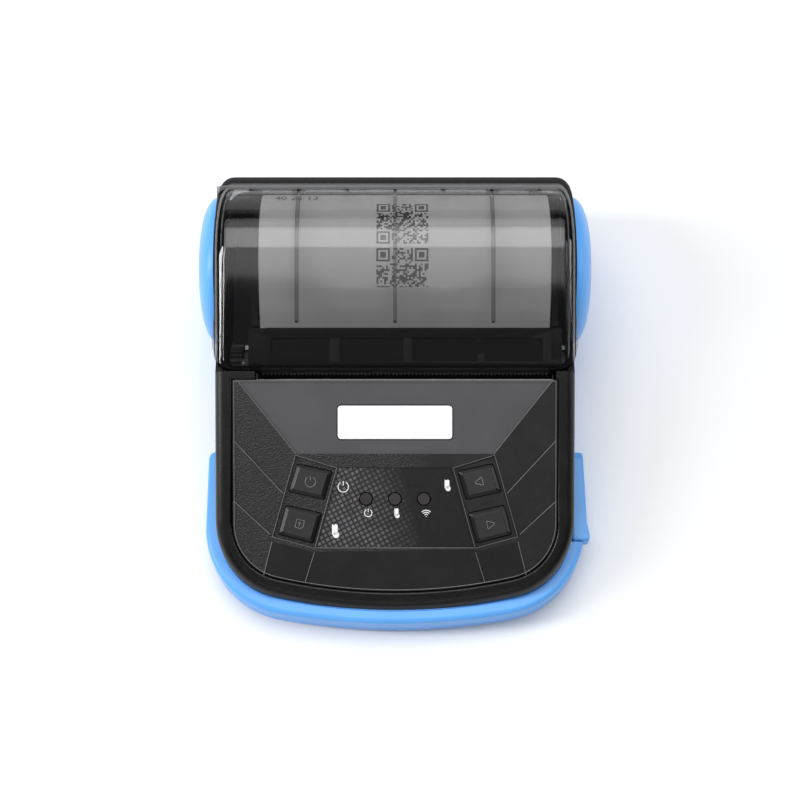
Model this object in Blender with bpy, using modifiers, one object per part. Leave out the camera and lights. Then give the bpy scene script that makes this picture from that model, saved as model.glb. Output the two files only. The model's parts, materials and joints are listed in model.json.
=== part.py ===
"""Portable receipt printer with a drop-in paper roll, built as separate solids.

Metres, +Z up. The panel with the keys faces up and towards -Y, and +X is on its right.
The origin lies on the resting plane under the middle of the printer.
"""

import math

import bmesh
import bpy
from mathutils import Matrix, Vector

# Fits and shared values
GAP = 0.0003
OVERRUN = 0.004
WELD = 0.000001
SHARP_ANGLE = math.radians(35)

# Whole printer
HALF_LENGTH = 0.0625
FOOT_STAND = 0.0008
WALL = 0.0018
PARTING_Z = 0.012
REAR_STEP = 0.001

# Paper roll and the trough that it lies in
ROLL_RADIUS = 0.019
LEFT_ROOM = 0.01145
RIGHT_ROOM = 0.00605
CORE_RADIUS = 0.0065
CORE_WALL = 0.001
PAPER = 0.00015
BUCKET_AIR = 0.0009
BUCKET_WALL = 0.0016
BUCKET_LIFT = 0.0025
BUCKET_SIDE_AIR = 0.001
BUCKET_END_RISE = 0.004
BUCKET_REAR_ANGLE = math.radians(20)
BUCKET_REAR_SHARE = 0.7
BUCKET_RIB = 0.002
BUCKET_BOSS_RADIUS = 0.0032

# Cover
DOME_AIR = 0.0034
COVER_WALL = 0.0016
COVER_STEP = 0.0005
COVER_EDGE_RADIUS = 0.004
COVER_RUN = 0.0369
COVER_LIP = 0.0025
RIB_WIDTH = 0.001
RIB_HEIGHT = 0.0012
TAB_ANGLES = (math.radians(34), math.radians(52))
HINGE_INSET = 0.0025
HINGE_DROP = 0.002
BARREL_RADIUS = 0.0022
PIN_RADIUS = 0.001
LUG_WIDTH = 0.008
LUG_INSET = 0.0145
CASE_LUG_WIDTH = 0.0035
COVER_OPEN = math.radians(95)

# Black case
CASE_HALF = 0.0485
CASE_FRONT_STEP = 0.0032
CASE_CORNER = 0.020
CASE_BOW = 0.150
CASE_REAR_CORNER = 0.006
RIM_RADIUS = 0.0024
FRONT_RISE = 0.0014
PANEL_RISE = 0.0242
SLOT_RUN = 0.0022
RECESS_FLOOR = 0.0015
SIDE_WALL_FALL = math.radians(9)

# Panel in its recess, with the places on it as shares of its half width and length
RIM_WIDTH = 0.0046
PANEL_DROP = 0.0003
PANEL_THICKNESS = 0.0016
POCKET_DEPTH = 0.0007
GROOVE = 0.0005
BAND_DEPTH = 0.0004
POCKET_SHARES = ((0.61, 0.646), (0.357, 0.586), (0.492, 0.208), (0.752, 0.262))
UPPER_KEY_SHARES = ((0.597, 0.604), (0.387, 0.569), (0.437, 0.438), (0.651, 0.475))
LOWER_KEY_SHARES = ((0.667, 0.408), (0.451, 0.371), (0.503, 0.232), (0.715, 0.274))
BAND_SHARES = ((0.968, 1.0), (0.606, 0.652))
OVERLAY_SHARES = ((0.345, 0.588), (0.482, 0.21))
GROOVE_SHARES = (
    ((0.986, 0.715), (0.688, 0.468)),
    ((0.984, 0.428), (0.766, 0.274)),
    ((0.752, 0.244), (0.795, 0.102)),
    ((0.492, 0.19), (0.526, 0.065)),
)
LABEL_LENGTH = 0.0308
LABEL_HEIGHT = 0.009
LABEL_THICKNESS = 0.0004
LABEL_SHARE = 0.8
OVERLAY_THICKNESS = 0.0003
LED_RADIUS = 0.0016
LED_PITCH = 0.0078
LED_SHARE = 0.44

# Keys
KEY_TRAVEL = 0.0005
KEY_BEVEL = 0.0004
KEY_FLANGE = 0.0006
KEY_FLANGE_THICKNESS = 0.0005
KEY_PROUD = 0.0001
STEM_RADIUS = 0.0008
STEM_LENGTH = 0.0019
SWITCH_SIZE = 0.0046
SWITCH_HEIGHT = 0.0017
BOARD_THICKNESS = 0.001
BOARD_DEPTH = 0.0054
BOARD_SHARES = (0.13, 0.72)
WINDOW_SIDE = 0.0099
WINDOW_SHARES = (0.13, 0.69)
RAIL_WIDTH = 0.002

# Blue tub
SILL_STEP = 0.0037
SILL_CORNER = 0.025
SILL_BOW = 0.180
SILL_LENGTH = 0.049
SILL_EDGE = 0.0014
SILL_REAR_CORNER = 0.0022
SILL_DROP = 0.0004
SILL_LIFT = 0.0006
TUB_EDGE = 0.002
CAVITY_LENGTH = 0.0195
LOBE_RADIUS = 0.021
LOBE_SHIFT = 0.0012
LOBE_DROP = 0.003
LOBE_BULGE = 0.00535
LOBE_WALL = 0.0016
LOBE_SIDE_GAP = 0.0004
LOBE_PROFILE_SHARES = (
    (0.0, 1.0), (0.45, 0.96), (0.7, 0.84), (0.87, 0.66), (0.96, 0.38),
)

# Release lever in the right sill
LEVER_LENGTH = 0.026
LEVER_BOTTOM = 0.0065
LEVER_PIN_RADIUS = 0.001
LEVER_PIN_DEPTH = 0.006
LEVER_FLARE = 0.0009
LEVER_LIP = 0.004
LEVER_EDGE = 0.0006
LEVER_OUT = 0.0005
LEVER_LEDGE = 0.0008

# Platen and its carrier
PLATEN_RADIUS = 0.0052
PLATEN_BACK = 0.0048
PLATEN_DROP = 0.0085
SHAFT_RADIUS = 0.0018
BUSH_RADIUS = 0.0035
BUSH_LENGTH = 0.003
FRAME_LENGTH = 0.0105
FRAME_PLATE = 0.0012
FRAME_SIDE_AIR = 0.001
FRAME_REAR_DROP = 0.0065
FRAME_GROOVE = 0.001
FRAME_GROOVE_PITCH = 0.0195
TEAR_PLATE = 0.0005
TEAR_LENGTH = 0.0022
TOOTH_PITCH = 0.00106
TOOTH_DEPTH = 0.0006

# Gear train on the left
MODULE = 0.0005
PLATEN_TEETH = 20
IDLER_TEETH = 26
PINION_TEETH = 14
GEAR_WIDTH = 0.003
GEAR_AIR = 0.0006
BACKLASH = 0.00022
CENTRE_SLACK = 0.00008
PRESSURE_ANGLE = math.radians(20)
MOTOR_BEARING = math.radians(195)

# Mechanism
SIDE_PLATE = 0.0012
PLATE_FRONT = 0.0185
PLATE_REAR = 0.0076
PLATE_FOOT = 0.0065
NOTCH_RISE = 0.0015
CHUTE_FRONT = 0.0136
CHUTE_PLATE = 0.0012
HEAD_WIDTH = 0.0785
HEAD_HEIGHT = 0.0082
HEAD_THICKNESS = 0.001
HEAD_BELOW = 0.0052
SINK_THICKNESS = 0.0012
SPRING_RADIUS = 0.0018
SPRING_WIRE = 0.0004
SPRING_SHARES = (-0.135, 0.369)
MOTOR_RADIUS = 0.007
MOTOR_LENGTH = 0.0145

# Electronics and battery
BATTERY_SIDE_ROOM = 0.0175
BATTERY_FRONT_SHARE = 0.345
BATTERY_BACK_ROOM = 0.0048
BATTERY_HEIGHT = 0.0117
BATTERY_EDGE = 0.0015
BATTERY_LIFT = 0.0016
DOOR_MARGIN = 0.0018
DOOR_THICKNESS = 0.001
DOOR_TRAVEL = 0.005
DOOR_GRIP = 0.0004
TERMINAL_SIZE = (0.0045, 0.010, 0.0062)
MAIN_BOARD_SIDE = 0.0285
MAIN_BOARD_AHEAD = 0.0134
MAIN_BOARD_BEHIND = 0.0081
MAIN_BOARD_Z = 0.0036
SOCKET_DEPTH = 0.0064
USB_SIZE = (0.0078, 0.0029)
USB_INSET = 0.005
JACK_SIZE = (0.0062, 0.0044)
JACK_INSET = 0.006
JACK_BORE = 0.0016
SHELL_SKIN = 0.0004
SENSOR_SIZE = (0.005, 0.003, 0.004)

# Feet and screws
FOOT_RADIUS = 0.004
FOOT_SINK = 0.0006
FOOT_FRONT_INSETS = (0.0105, 0.014)
FOOT_REAR_INSETS = (0.0075, 0.0115)
SCREW_FRONT_INSETS = (0.008, 0.024)
SCREW_REAR_INSETS = (0.0175, 0.007)
SCREW_RADIUS = 0.0012
SCREW_HEAD = 0.0022
SCREW_HEAD_HEIGHT = 0.001
SCREW_LENGTH = 0.0058
POST_RADIUS = 0.0028

# Numbers of steps on round shapes
ROUND_STEPS = 24
WIDE_STEPS = 32
MEDIUM_STEPS = 16
SMALL_STEPS = 12
ARC_STEPS = 16
BOW_STEPS = 4
SPRING_STEPS = 9
CORNER_STEPS = 6

# Worked out from the sizes above
FLOOR_Z = FOOT_STAND + WALL
ROLL_Z = FLOOR_Z + BUCKET_LIFT + BUCKET_WALL + GAP + ROLL_RADIUS
DOME_RADIUS = ROLL_RADIUS + DOME_AIR + COVER_WALL
ROLL_Y = HALF_LENGTH - REAR_STEP - DOME_RADIUS
ROLL_LEFT = LEFT_ROOM - CASE_HALF
ROLL_RIGHT = CASE_HALF - RIGHT_ROOM
ROLL_WIDTH = ROLL_RIGHT - ROLL_LEFT
ROLL_SHIFT = (ROLL_LEFT + ROLL_RIGHT) / 2
RIB_PITCH = ROLL_WIDTH / 3
COVER_FRONT_Y = ROLL_Y - COVER_RUN
BUCKET_RADIUS = ROLL_RADIUS + BUCKET_AIR
BUCKET_Z = ROLL_Z - ROLL_RADIUS - GAP + BUCKET_RADIUS
BUCKET_LEFT = ROLL_LEFT - BUCKET_SIDE_AIR
BUCKET_RIGHT = ROLL_RIGHT + BUCKET_SIDE_AIR
COVER_HALF = CASE_HALF + COVER_STEP
CASE_FRONT_Y = CASE_FRONT_STEP - HALF_LENGTH
CASE_TOP_END = COVER_FRONT_Y - GAP
SLOT_FRONT_Y = CASE_TOP_END - SLOT_RUN
CASE_BOTTOM = PARTING_Z + GAP
PANEL_SLOPE = math.atan2(PANEL_RISE, COVER_FRONT_Y - CASE_FRONT_Y)
TAN_SLOPE = math.tan(PANEL_SLOPE)
COS_SLOPE = math.cos(PANEL_SLOPE)
HINGE_Y = HALF_LENGTH - HINGE_INSET
HINGE_Z = ROLL_Z - HINGE_DROP
WALL_TOP_Z = HINGE_Z - BARREL_RADIUS - 2 * GAP
SKIRT_Z = HINGE_Z - BARREL_RADIUS / 2
KNEE_Y = HINGE_Y - BARREL_RADIUS - 2 * GAP
LUG_CENTRE = CASE_HALF - LUG_INSET
LUG_REACH = LUG_WIDTH / 2 + GAP + CASE_LUG_WIDTH
RECESS_DEPTH = PANEL_DROP + PANEL_THICKNESS + GAP
CASE_ROOF = RECESS_DEPTH + RECESS_FLOOR
PANEL_HALF = CASE_HALF - RIM_WIDTH
WINDOW_HALF = PANEL_HALF - WINDOW_SIDE
BOARD_HALF = WINDOW_HALF + RAIL_WIDTH
SILL_HALF = CASE_HALF + SILL_STEP
SILL_REAR_Y = SILL_LENGTH - HALF_LENGTH
CAVITY_REAR_Y = CAVITY_LENGTH - HALF_LENGTH
LOBE_INNER = COVER_HALF + LOBE_SIDE_GAP
LOBE_Y = ROLL_Y - LOBE_SHIFT
LOBE_Z = ROLL_Z - LOBE_DROP
HALF_WIDTH = LOBE_INNER + LOBE_BULGE
LEVER_REAR_Y = SILL_REAR_Y
LEVER_FRONT_Y = LEVER_REAR_Y - LEVER_LENGTH
LEVER_BORE_RADIUS = LEVER_PIN_RADIUS + GAP
LEVER_HALF_HEIGHT = (PARTING_Z - LEVER_BOTTOM) / 2
LEVER_PIVOT_Y = LEVER_REAR_Y - LEVER_HALF_HEIGHT
LEVER_PIVOT_Z = PARTING_Z - LEVER_HALF_HEIGHT
PLATEN_Y = COVER_FRONT_Y + PLATEN_BACK
RUBBER_LEFT = ROLL_LEFT - GAP
RUBBER_RIGHT = ROLL_RIGHT + GAP
FRAME_LEFT = RUBBER_LEFT - FRAME_SIDE_AIR
FRAME_RIGHT = RUBBER_RIGHT + FRAME_SIDE_AIR
PLATE_LEFT = FRAME_LEFT - FRAME_PLATE - GAP
PLATE_RIGHT = FRAME_RIGHT + FRAME_PLATE + GAP
BUSH_BORE = SHAFT_RADIUS + GAP
GEAR_RIGHT = PLATE_LEFT - SIDE_PLATE - GEAR_AIR
GEAR_LEFT = GEAR_RIGHT - GEAR_WIDTH
IDLER_REACH = MODULE * (PLATEN_TEETH + IDLER_TEETH) / 2 + CENTRE_SLACK
PINION_REACH = MODULE * (IDLER_TEETH + PINION_TEETH) / 2 + CENTRE_SLACK
MAIN_BOARD_LEFT = WALL + GAP - CASE_HALF
MAIN_BOARD_RIGHT = CASE_HALF - MAIN_BOARD_SIDE
MAIN_BOARD_FRONT = PLATEN_Y - MAIN_BOARD_AHEAD
MAIN_BOARD_REAR = PLATEN_Y + MAIN_BOARD_BEHIND
USB_Y = MAIN_BOARD_REAR - USB_INSET
JACK_Y = MAIN_BOARD_FRONT + JACK_INSET
BATTERY_HALF = CASE_HALF - BATTERY_SIDE_ROOM
BATTERY_FRONT_Y = CASE_FRONT_Y + BATTERY_FRONT_SHARE * (PLATEN_Y - CASE_FRONT_Y)
BATTERY_REAR_Y = PLATEN_Y - CHUTE_FRONT - BATTERY_BACK_ROOM
BATTERY_LOW = (-BATTERY_HALF, BATTERY_FRONT_Y, FOOT_STAND + BATTERY_LIFT)
BATTERY_HIGH = (BATTERY_HALF, BATTERY_REAR_Y, FOOT_STAND + BATTERY_LIFT + BATTERY_HEIGHT)
FOOT_FRONT = (CASE_HALF - FOOT_FRONT_INSETS[0], FOOT_FRONT_INSETS[1] - HALF_LENGTH)
FOOT_REAR = (CASE_HALF - FOOT_REAR_INSETS[0], HALF_LENGTH - FOOT_REAR_INSETS[1])
SCREW_FRONT = (CASE_HALF - SCREW_FRONT_INSETS[0], SCREW_FRONT_INSETS[1] - HALF_LENGTH)
SCREW_REAR = (CASE_HALF - SCREW_REAR_INSETS[0], HALF_LENGTH - SCREW_REAR_INSETS[1])

FINISHES = {
    "blue_plastic": ((0.170, 0.450, 1.0), 0.38, 0.0),
    "black_plastic": ((0.022, 0.021, 0.023), 0.5, 0.0),
    "panel_plastic": ((0.045, 0.044, 0.046), 0.55, 0.0),
    "key_plastic": ((0.030, 0.029, 0.031), 0.45, 0.0),
    "overlay_film": ((0.030, 0.030, 0.034), 0.3, 0.0),
    "label_film": ((0.900, 0.900, 0.900), 0.4, 0.0),
    "lamp_lens": ((0.020, 0.020, 0.022), 0.15, 0.0),
    "smoked_cover": ((0.120, 0.120, 0.125), 0.08, 0.0),
    "paper": ((0.720, 0.720, 0.710), 0.8, 0.0),
    "core_card": ((0.480, 0.360, 0.240), 0.9, 0.0),
    "rubber": ((0.025, 0.025, 0.025), 0.85, 0.0),
    "steel": ((0.560, 0.560, 0.570), 0.3, 1.0),
    "sheet_metal": ((0.480, 0.490, 0.500), 0.4, 1.0),
    "gear_plastic": ((0.035, 0.034, 0.033), 0.5, 0.0),
    "bush_plastic": ((0.250, 0.250, 0.260), 0.5, 0.0),
    "ceramic": ((0.620, 0.600, 0.560), 0.35, 0.0),
    "aluminium": ((0.700, 0.710, 0.720), 0.35, 1.0),
    "circuit_board": ((0.020, 0.150, 0.060), 0.5, 0.0),
    "battery_wrap": ((0.050, 0.060, 0.090), 0.45, 0.0),
}

PRINTER = bpy.data.collections.new("receipt_printer")
CUTTERS = bpy.data.collections.new("cutters")
FLAT = Matrix.Identity(4)
ACROSS = Matrix.Rotation(math.pi / 2, 4, "Z") @ Matrix.Rotation(math.pi / 2, 4, "X")
TURNED = Matrix.Rotation(math.pi / 2, 4, "Y")


def clear_scene():
    """Remove what the scene holds and link the printer's collections."""
    for old in list(bpy.data.objects):
        bpy.data.objects.remove(old, do_unlink=True)
    for group in (PRINTER, CUTTERS):
        bpy.context.scene.collection.children.link(group)


def finish(name):
    """Return the material of a finish, made on its first use."""
    material = bpy.data.materials.get(name)
    if material is None:
        colour, roughness, metallic = FINISHES[name]
        material = bpy.data.materials.new(name)
        material.use_nodes = True
        shader = material.node_tree.nodes["Principled BSDF"]
        shader.inputs["Base Color"].default_value = (*colour, 1.0)
        shader.inputs["Roughness"].default_value = roughness
        shader.inputs["Metallic"].default_value = metallic
    return material


def place(name, mesh, look, matrix=FLAT, parent=None):
    """Put a mesh in the printer, or among the cutters when it has no finish."""
    piece = bpy.data.objects.new(name, mesh)
    if look:
        PRINTER.objects.link(piece)
        mesh.materials.clear()
        mesh.materials.append(finish(look))
        mesh.shade_smooth()
        mesh.set_sharp_from_angle(angle=SHARP_ANGLE)
    else:
        CUTTERS.objects.link(piece)
        piece.hide_render = True
        piece.display_type = "WIRE"
    piece.location = matrix.to_translation()
    piece.rotation_euler = matrix.to_euler()
    if parent:
        piece.parent = parent
        piece.matrix_parent_inverse = Matrix.Translation(parent["axis_point"]).inverted()
    return piece


def axis(name, point, parent=None):
    """Make an empty on a joint's axis, for the pieces that turn or slide there."""
    empty = bpy.data.objects.new(name, None)
    PRINTER.objects.link(empty)
    empty.location = point
    empty["axis_point"] = point
    if parent:
        empty.parent = parent
        empty.matrix_parent_inverse = Matrix.Translation(parent["axis_point"]).inverted()
    return empty


def boolean(target, tool, operation):
    """Add one Boolean of a tool to a piece."""
    modifier = target.modifiers.new(operation.lower() + "_" + tool.name, "BOOLEAN")
    modifier.operation = operation
    modifier.object = tool
    modifier.solver = "EXACT"


def cut(target, *tools):
    """Cut tools out of a piece."""
    for tool in tools:
        boolean(target, tool, "DIFFERENCE")


def fuse(target, *tools):
    """Join tools onto a piece."""
    for tool in tools:
        boolean(target, tool, "UNION")


def keep_common(target, tool):
    """Keep what a piece has in common with a tool."""
    boolean(target, tool, "INTERSECT")


def bevel(piece, width, segments=2, angle=math.radians(40)):
    """Round a piece's edges."""
    modifier = piece.modifiers.new("edges", "BEVEL")
    modifier.width = width
    modifier.segments = segments
    modifier.limit_method = "ANGLE"
    modifier.angle_limit = angle
    modifier.use_clamp_overlap = True


def mark_edges(mesh, wanted):
    """Mark the edges to bevel, those whose two ends pass a test."""
    work = bmesh.new()
    work.from_mesh(mesh)
    weights = work.edges.layers.float.new("bevel_weight_edge")
    for edge in work.edges:
        if wanted(edge.verts[0].co, edge.verts[1].co):
            edge[weights] = 1.0
    work.to_mesh(mesh)
    work.free()


def bevel_marked(piece, width, segments, held=True):
    """Round the marked edges of a piece, held back where edges are short unless told otherwise."""
    modifier = piece.modifiers.new("edges", "BEVEL")
    modifier.width = width
    modifier.segments = segments
    modifier.limit_method = "WEIGHT"
    modifier.use_clamp_overlap = held


def box_mesh(name, low, high):
    """Return a block's mesh between two corners."""
    mesh = bpy.data.meshes.new(name)
    low, high = Vector(low), Vector(high)
    work = bmesh.new()
    bmesh.ops.create_cube(work, size=1.0)
    bmesh.ops.scale(work, vec=high - low, verts=work.verts)
    bmesh.ops.translate(work, vec=(low + high) / 2, verts=work.verts)
    work.to_mesh(mesh)
    work.free()
    return mesh


def box(name, low, high, look=None, matrix=FLAT, parent=None):
    """Make a block between two corners."""
    return place(name, box_mesh(name, low, high), look, matrix, parent)


def drum(name, radius, start, end, look=None, matrix=FLAT, parent=None, steps=ROUND_STEPS):
    """Make a plain cylinder along the matrix's Z axis, from start to end on it."""
    mesh = bpy.data.meshes.new(name)
    work = bmesh.new()
    bmesh.ops.create_cone(
        work, cap_ends=True, segments=steps, radius1=radius, radius2=radius, depth=end - start
    )
    bmesh.ops.translate(work, vec=(0, 0, (start + end) / 2), verts=work.verts)
    work.to_mesh(mesh)
    work.free()
    return place(name, mesh, look, matrix, parent)


def outline_mesh(name, outline, depth, holes=()):
    """Return the mesh of a flat outline, from height zero up to its depth."""
    curve = bpy.data.curves.new(name, "CURVE")
    curve.dimensions = "2D"
    curve.fill_mode = "BOTH"
    curve.extrude = depth / 2
    for loop in (outline, *holes):
        spline = curve.splines.new("POLY")
        spline.points.add(len(loop) - 1)
        for point, (x, y) in zip(spline.points, loop):
            point.co = (x, y, 0, 1)
        spline.use_cyclic_u = True
    guide = bpy.data.objects.new(name, curve)
    CUTTERS.objects.link(guide)
    graph = bpy.context.evaluated_depsgraph_get()
    mesh = bpy.data.meshes.new_from_object(guide.evaluated_get(graph))
    bpy.data.objects.remove(guide)
    work = bmesh.new()
    work.from_mesh(mesh)
    bmesh.ops.remove_doubles(work, verts=work.verts, dist=WELD)
    bmesh.ops.translate(work, vec=(0, 0, depth / 2), verts=work.verts)
    if not holes:
        bmesh.ops.dissolve_limit(
            work, angle_limit=math.radians(1), verts=work.verts, edges=work.edges
        )
    bmesh.ops.recalc_face_normals(work, faces=work.faces)
    work.to_mesh(mesh)
    work.free()
    return mesh


def plate(name, outline, low, high, look=None, matrix=FLAT, parent=None, holes=()):
    """Make a flat outline into a plate between two heights of the matrix's Z axis."""
    mesh = outline_mesh(name, outline, high - low, holes)
    return place(name, mesh, look, matrix @ Matrix.Translation((0, 0, low)), parent)


def side_plate(name, outline, low, high, look=None, parent=None, holes=()):
    """Make an outline in Y and Z into a plate between two places on X."""
    return plate(name, outline, low, high, look, ACROSS, parent, holes)


def turned(name, profile, look=None, matrix=FLAT, parent=None, steps=ROUND_STEPS, ring=False):
    """Turn a profile of radius and height round the matrix's Z axis."""
    mesh = bpy.data.meshes.new(name)
    work = bmesh.new()
    points = [work.verts.new((radius, 0, height)) for radius, height in profile]
    for first, second in zip(points, points[1:]):
        work.edges.new((first, second))
    if ring:
        work.edges.new((points[-1], points[0]))
    work.to_mesh(mesh)
    work.free()
    piece = place(name, mesh, look, matrix, parent)
    screw = piece.modifiers.new("turn", "SCREW")
    screw.axis = "Z"
    screw.steps = steps
    screw.render_steps = steps
    screw.use_merge_vertices = True
    screw.merge_threshold = WELD
    return piece


def tube(name, radius, bore, start, end, look=None, matrix=FLAT, parent=None, steps=ROUND_STEPS):
    """Make a plain ring or tube along the matrix's Z axis."""
    profile = ((radius, end), (radius, start), (bore, start), (bore, end))
    return turned(name, profile, look, matrix, parent, steps, ring=True)


def circle(centre, radius, steps):
    """Return a round outline about a centre."""
    turns = [2 * math.pi * step / steps for step in range(steps)]
    return [
        (centre[0] + radius * math.cos(turn), centre[1] + radius * math.sin(turn)) for turn in turns
    ]


def arc(centre, radius, start, end, steps):
    """Return the points of an arc, both ends included."""
    points = []
    for step in range(steps + 1):
        turn = start + (end - start) * step / steps
        points.append((centre[0] + radius * math.cos(turn), centre[1] + radius * math.sin(turn)))
    return points


def offset(outline, distance):
    """Return an outline moved outwards by a distance, for points in either direction."""
    area = 0.0
    for (x1, y1), (x2, y2) in zip(outline, outline[1:] + outline[:1]):
        area += x1 * y2 - x2 * y1
    side = distance if area > 0 else -distance
    moved = []
    for before, here, after in zip(outline[-1:] + outline[:-1], outline, outline[1:] + outline[:1]):
        first = (Vector(here) - Vector(before)).normalized()
        second = (Vector(after) - Vector(here)).normalized()
        normal = Vector((first.y + second.y, -first.x - second.x)).normalized()
        reach = side / normal.dot(Vector((first.y, -first.x)))
        moved.append((here[0] + normal.x * reach, here[1] + normal.y * reach))
    return moved


def rectangle(low, high):
    """Return a rectangle's outline between two corners."""
    return [(low[0], low[1]), (high[0], low[1]), (high[0], high[1]), (low[0], high[1])]


def plan_outline(half, front, rear, corner, bow, rear_corner, inset=0.0):
    """Return the outline with a bowed front edge, wide front corners and straight sides."""
    half, front, rear = half - inset, front + inset, rear - inset
    corner, bow, rear_corner = corner - inset, bow - inset, max(rear_corner - inset, inset / 2)
    bow_centre = (0.0, front + bow)
    corner_x = half - corner
    corner_y = bow_centre[1] - math.sqrt((bow - corner) ** 2 - corner_x ** 2)
    lean = math.atan2(corner_x, bow_centre[1] - corner_y)
    right = arc(bow_centre, bow, -math.pi / 2, -math.pi / 2 + lean, BOW_STEPS)
    right += arc((corner_x, corner_y), corner, -math.pi / 2 + lean, 0, CORNER_STEPS)[1:]
    rear_centre = (half - rear_corner, rear - rear_corner)
    right += arc(rear_centre, rear_corner, 0, math.pi / 2, CORNER_STEPS // 2)
    left = [(-x, y) for x, y in reversed(right[1:])]
    return right + left


def panel_z(y, depth=0.0):
    """Return the height of the panel's plane, or of one parallel below it, at a place on Y."""
    return CASE_BOTTOM + FRONT_RISE + (y - CASE_FRONT_Y) * TAN_SLOPE - depth / COS_SLOPE


def on_panel():
    """Return the panel's own frame: X across, Y up the slope, Z off the panel."""
    front = CASE_FRONT_Y + RIM_WIDTH * COS_SLOPE
    return Matrix.Translation((0, front, panel_z(front))) @ Matrix.Rotation(PANEL_SLOPE, 4, "X")


PANEL = on_panel()
PANEL_LENGTH = (SLOT_FRONT_Y - PANEL.to_translation().y) / COS_SLOPE
PLATEN_Z = panel_z(COVER_FRONT_Y) - PLATEN_DROP


def on_key_panel(shares, side=1):
    """Return panel places from shares of the panel's half width and length."""
    return [(side * x * PANEL_HALF, y * PANEL_LENGTH) for x, y in shares]


def middle(outline):
    """Return the mean of an outline's points."""
    return Vector((sum(x for x, y in outline), sum(y for x, y in outline))) / len(outline)


def cover_line(inset, rear_end, front_end):
    """Return the cover's outline in Y and Z from its rear edge over the dome to the front."""
    radius = DOME_RADIUS - inset
    centre = Vector((ROLL_Y, ROLL_Z))
    front = Vector((COVER_FRONT_Y, panel_z(COVER_FRONT_Y)))
    towards = front - centre
    tangent = math.atan2(towards.y, towards.x) - math.acos(DOME_RADIUS / towards.length)
    points = arc(centre, radius, rear_end, tangent, ARC_STEPS)
    fall = Vector((-math.sin(tangent), math.cos(tangent)))
    run = (points[-1][0] - front_end) / -fall.x
    points.append((front_end, points[-1][1] + fall.y * run))
    return points


def side_line_z(y):
    """Return the height of the parting line between the cover's sides and the case."""
    start = panel_z(COVER_FRONT_Y) - COVER_LIP
    return start - (y - COVER_FRONT_Y) * math.tan(SIDE_WALL_FALL)


def cover_body(name, inset, front_end, drop, look=None, parent=None):
    """Make the dome's solid, or the hollow inside it when it is inset and dropped."""
    line = cover_line(inset, 0.0, front_end)
    rear = ROLL_Y + DOME_RADIUS - inset
    knee = KNEE_Y + 2 * GAP - drop
    outline = [(rear, SKIRT_Z - drop)] + line + [(front_end, side_line_z(front_end) - drop)]
    outline += [(knee, side_line_z(knee) - drop), (knee, SKIRT_Z - drop)]
    half = COVER_HALF - inset
    mesh = outline_mesh(name, outline, 2 * half)

    def near(point):
        return any(abs(point.x - y) < WELD and abs(point.y - z) < WELD for y, z in line)

    def on_crown(first, second):
        return abs(first.z - second.z) < WELD and near(first) and near(second)

    mark_edges(mesh, on_crown)
    piece = place(name, mesh, look, ACROSS @ Matrix.Translation((0, 0, -half)), parent)
    bevel_marked(piece, COVER_EDGE_RADIUS - inset, 3, held=False)
    return piece


def barrel(name, low, high, foot_y, foot_z):
    """Make a hinge lug's solid: a barrel on the hinge axis and the neck that carries it."""
    sleeve = drum(name, BARREL_RADIUS, low, high, None, hinge_frame())
    neck = box(
        name + "_neck",
        (low + WELD, min(foot_y), min(foot_z)),
        (high - WELD, max(foot_y), max(foot_z)),
    )
    return sleeve, neck


def hinge_frame():
    """Return the frame of the cover's hinge, its Z axis along the pins."""
    return Matrix.Translation((0, HINGE_Y, HINGE_Z)) @ TURNED


def roller_frame(y, z):
    """Return the frame of something that turns about X, with its Z axis along X."""
    return Matrix.Translation((0, y, z)) @ TURNED


def add_cover(joint):
    """Make the clear cover: a ribbed dome with side walls, a front lip and two hinge lugs."""
    cover = cover_body("paper_cover", 0.0, COVER_FRONT_Y, 0.0, "smoked_cover", joint)
    hollow = cover_body("cover_hollow", COVER_WALL, COVER_FRONT_Y + COVER_WALL, OVERRUN)
    cut(cover, hollow)
    swing = BARREL_RADIUS + 2 * GAP
    wall_y = ROLL_Y + DOME_RADIUS - COVER_WALL
    neck_y = (wall_y + GAP, wall_y + COVER_WALL - GAP)
    neck_z = (HINGE_Z, HINGE_Z + swing + COVER_WALL)
    for side in (-1, 1):
        low, high = sorted((side * (LUG_CENTRE - LUG_REACH - GAP), side * (LUG_CENTRE + LUG_REACH + GAP)))
        cut(cover, drum(f"lug_room_{side}", swing, low, high, None, hinge_frame()))
        low = side * LUG_CENTRE - LUG_WIDTH / 2
        high = side * LUG_CENTRE + LUG_WIDTH / 2
        fuse(cover, *barrel(f"cover_lug_{side}", low, high, neck_y, neck_z))
        reach = PIN_RADIUS + GAP
        name = f"cover_bore_{side}"
        bore = drum(name, reach, low - GAP, high + GAP, None, hinge_frame(), steps=SMALL_STEPS)
        cut(cover, bore)
    for index in (-1, 0, 1):
        fuse(cover, cover_rib(index))
    for index in (-3, -1, 1, 3):
        fuse(cover, cover_tab(index))


def cover_strip(name, middle_x, rear_end, front_end, whole):
    """Make a rib's solid along the dome's inner face."""
    root = COVER_WALL / 2
    crest = COVER_WALL + RIB_HEIGHT
    if whole:
        outline = cover_line(root, rear_end, front_end)
        outline += list(reversed(cover_line(crest, rear_end, front_end)))
    else:
        centre = (ROLL_Y, ROLL_Z)
        outline = arc(centre, DOME_RADIUS - root, rear_end, front_end, BOW_STEPS)
        outline += arc(centre, DOME_RADIUS - crest, front_end, rear_end, BOW_STEPS)
    return side_plate(name, outline, middle_x - RIB_WIDTH / 2, middle_x + RIB_WIDTH / 2)


def cover_rib(index):
    """Make one full rib inside the dome."""
    rear = TAB_ANGLES[0]
    front = COVER_FRONT_Y + FRAME_LENGTH + FRAME_PLATE + RIB_HEIGHT
    return cover_strip(f"cover_rib_{index}", index * RIB_PITCH, rear, front, True)


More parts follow.
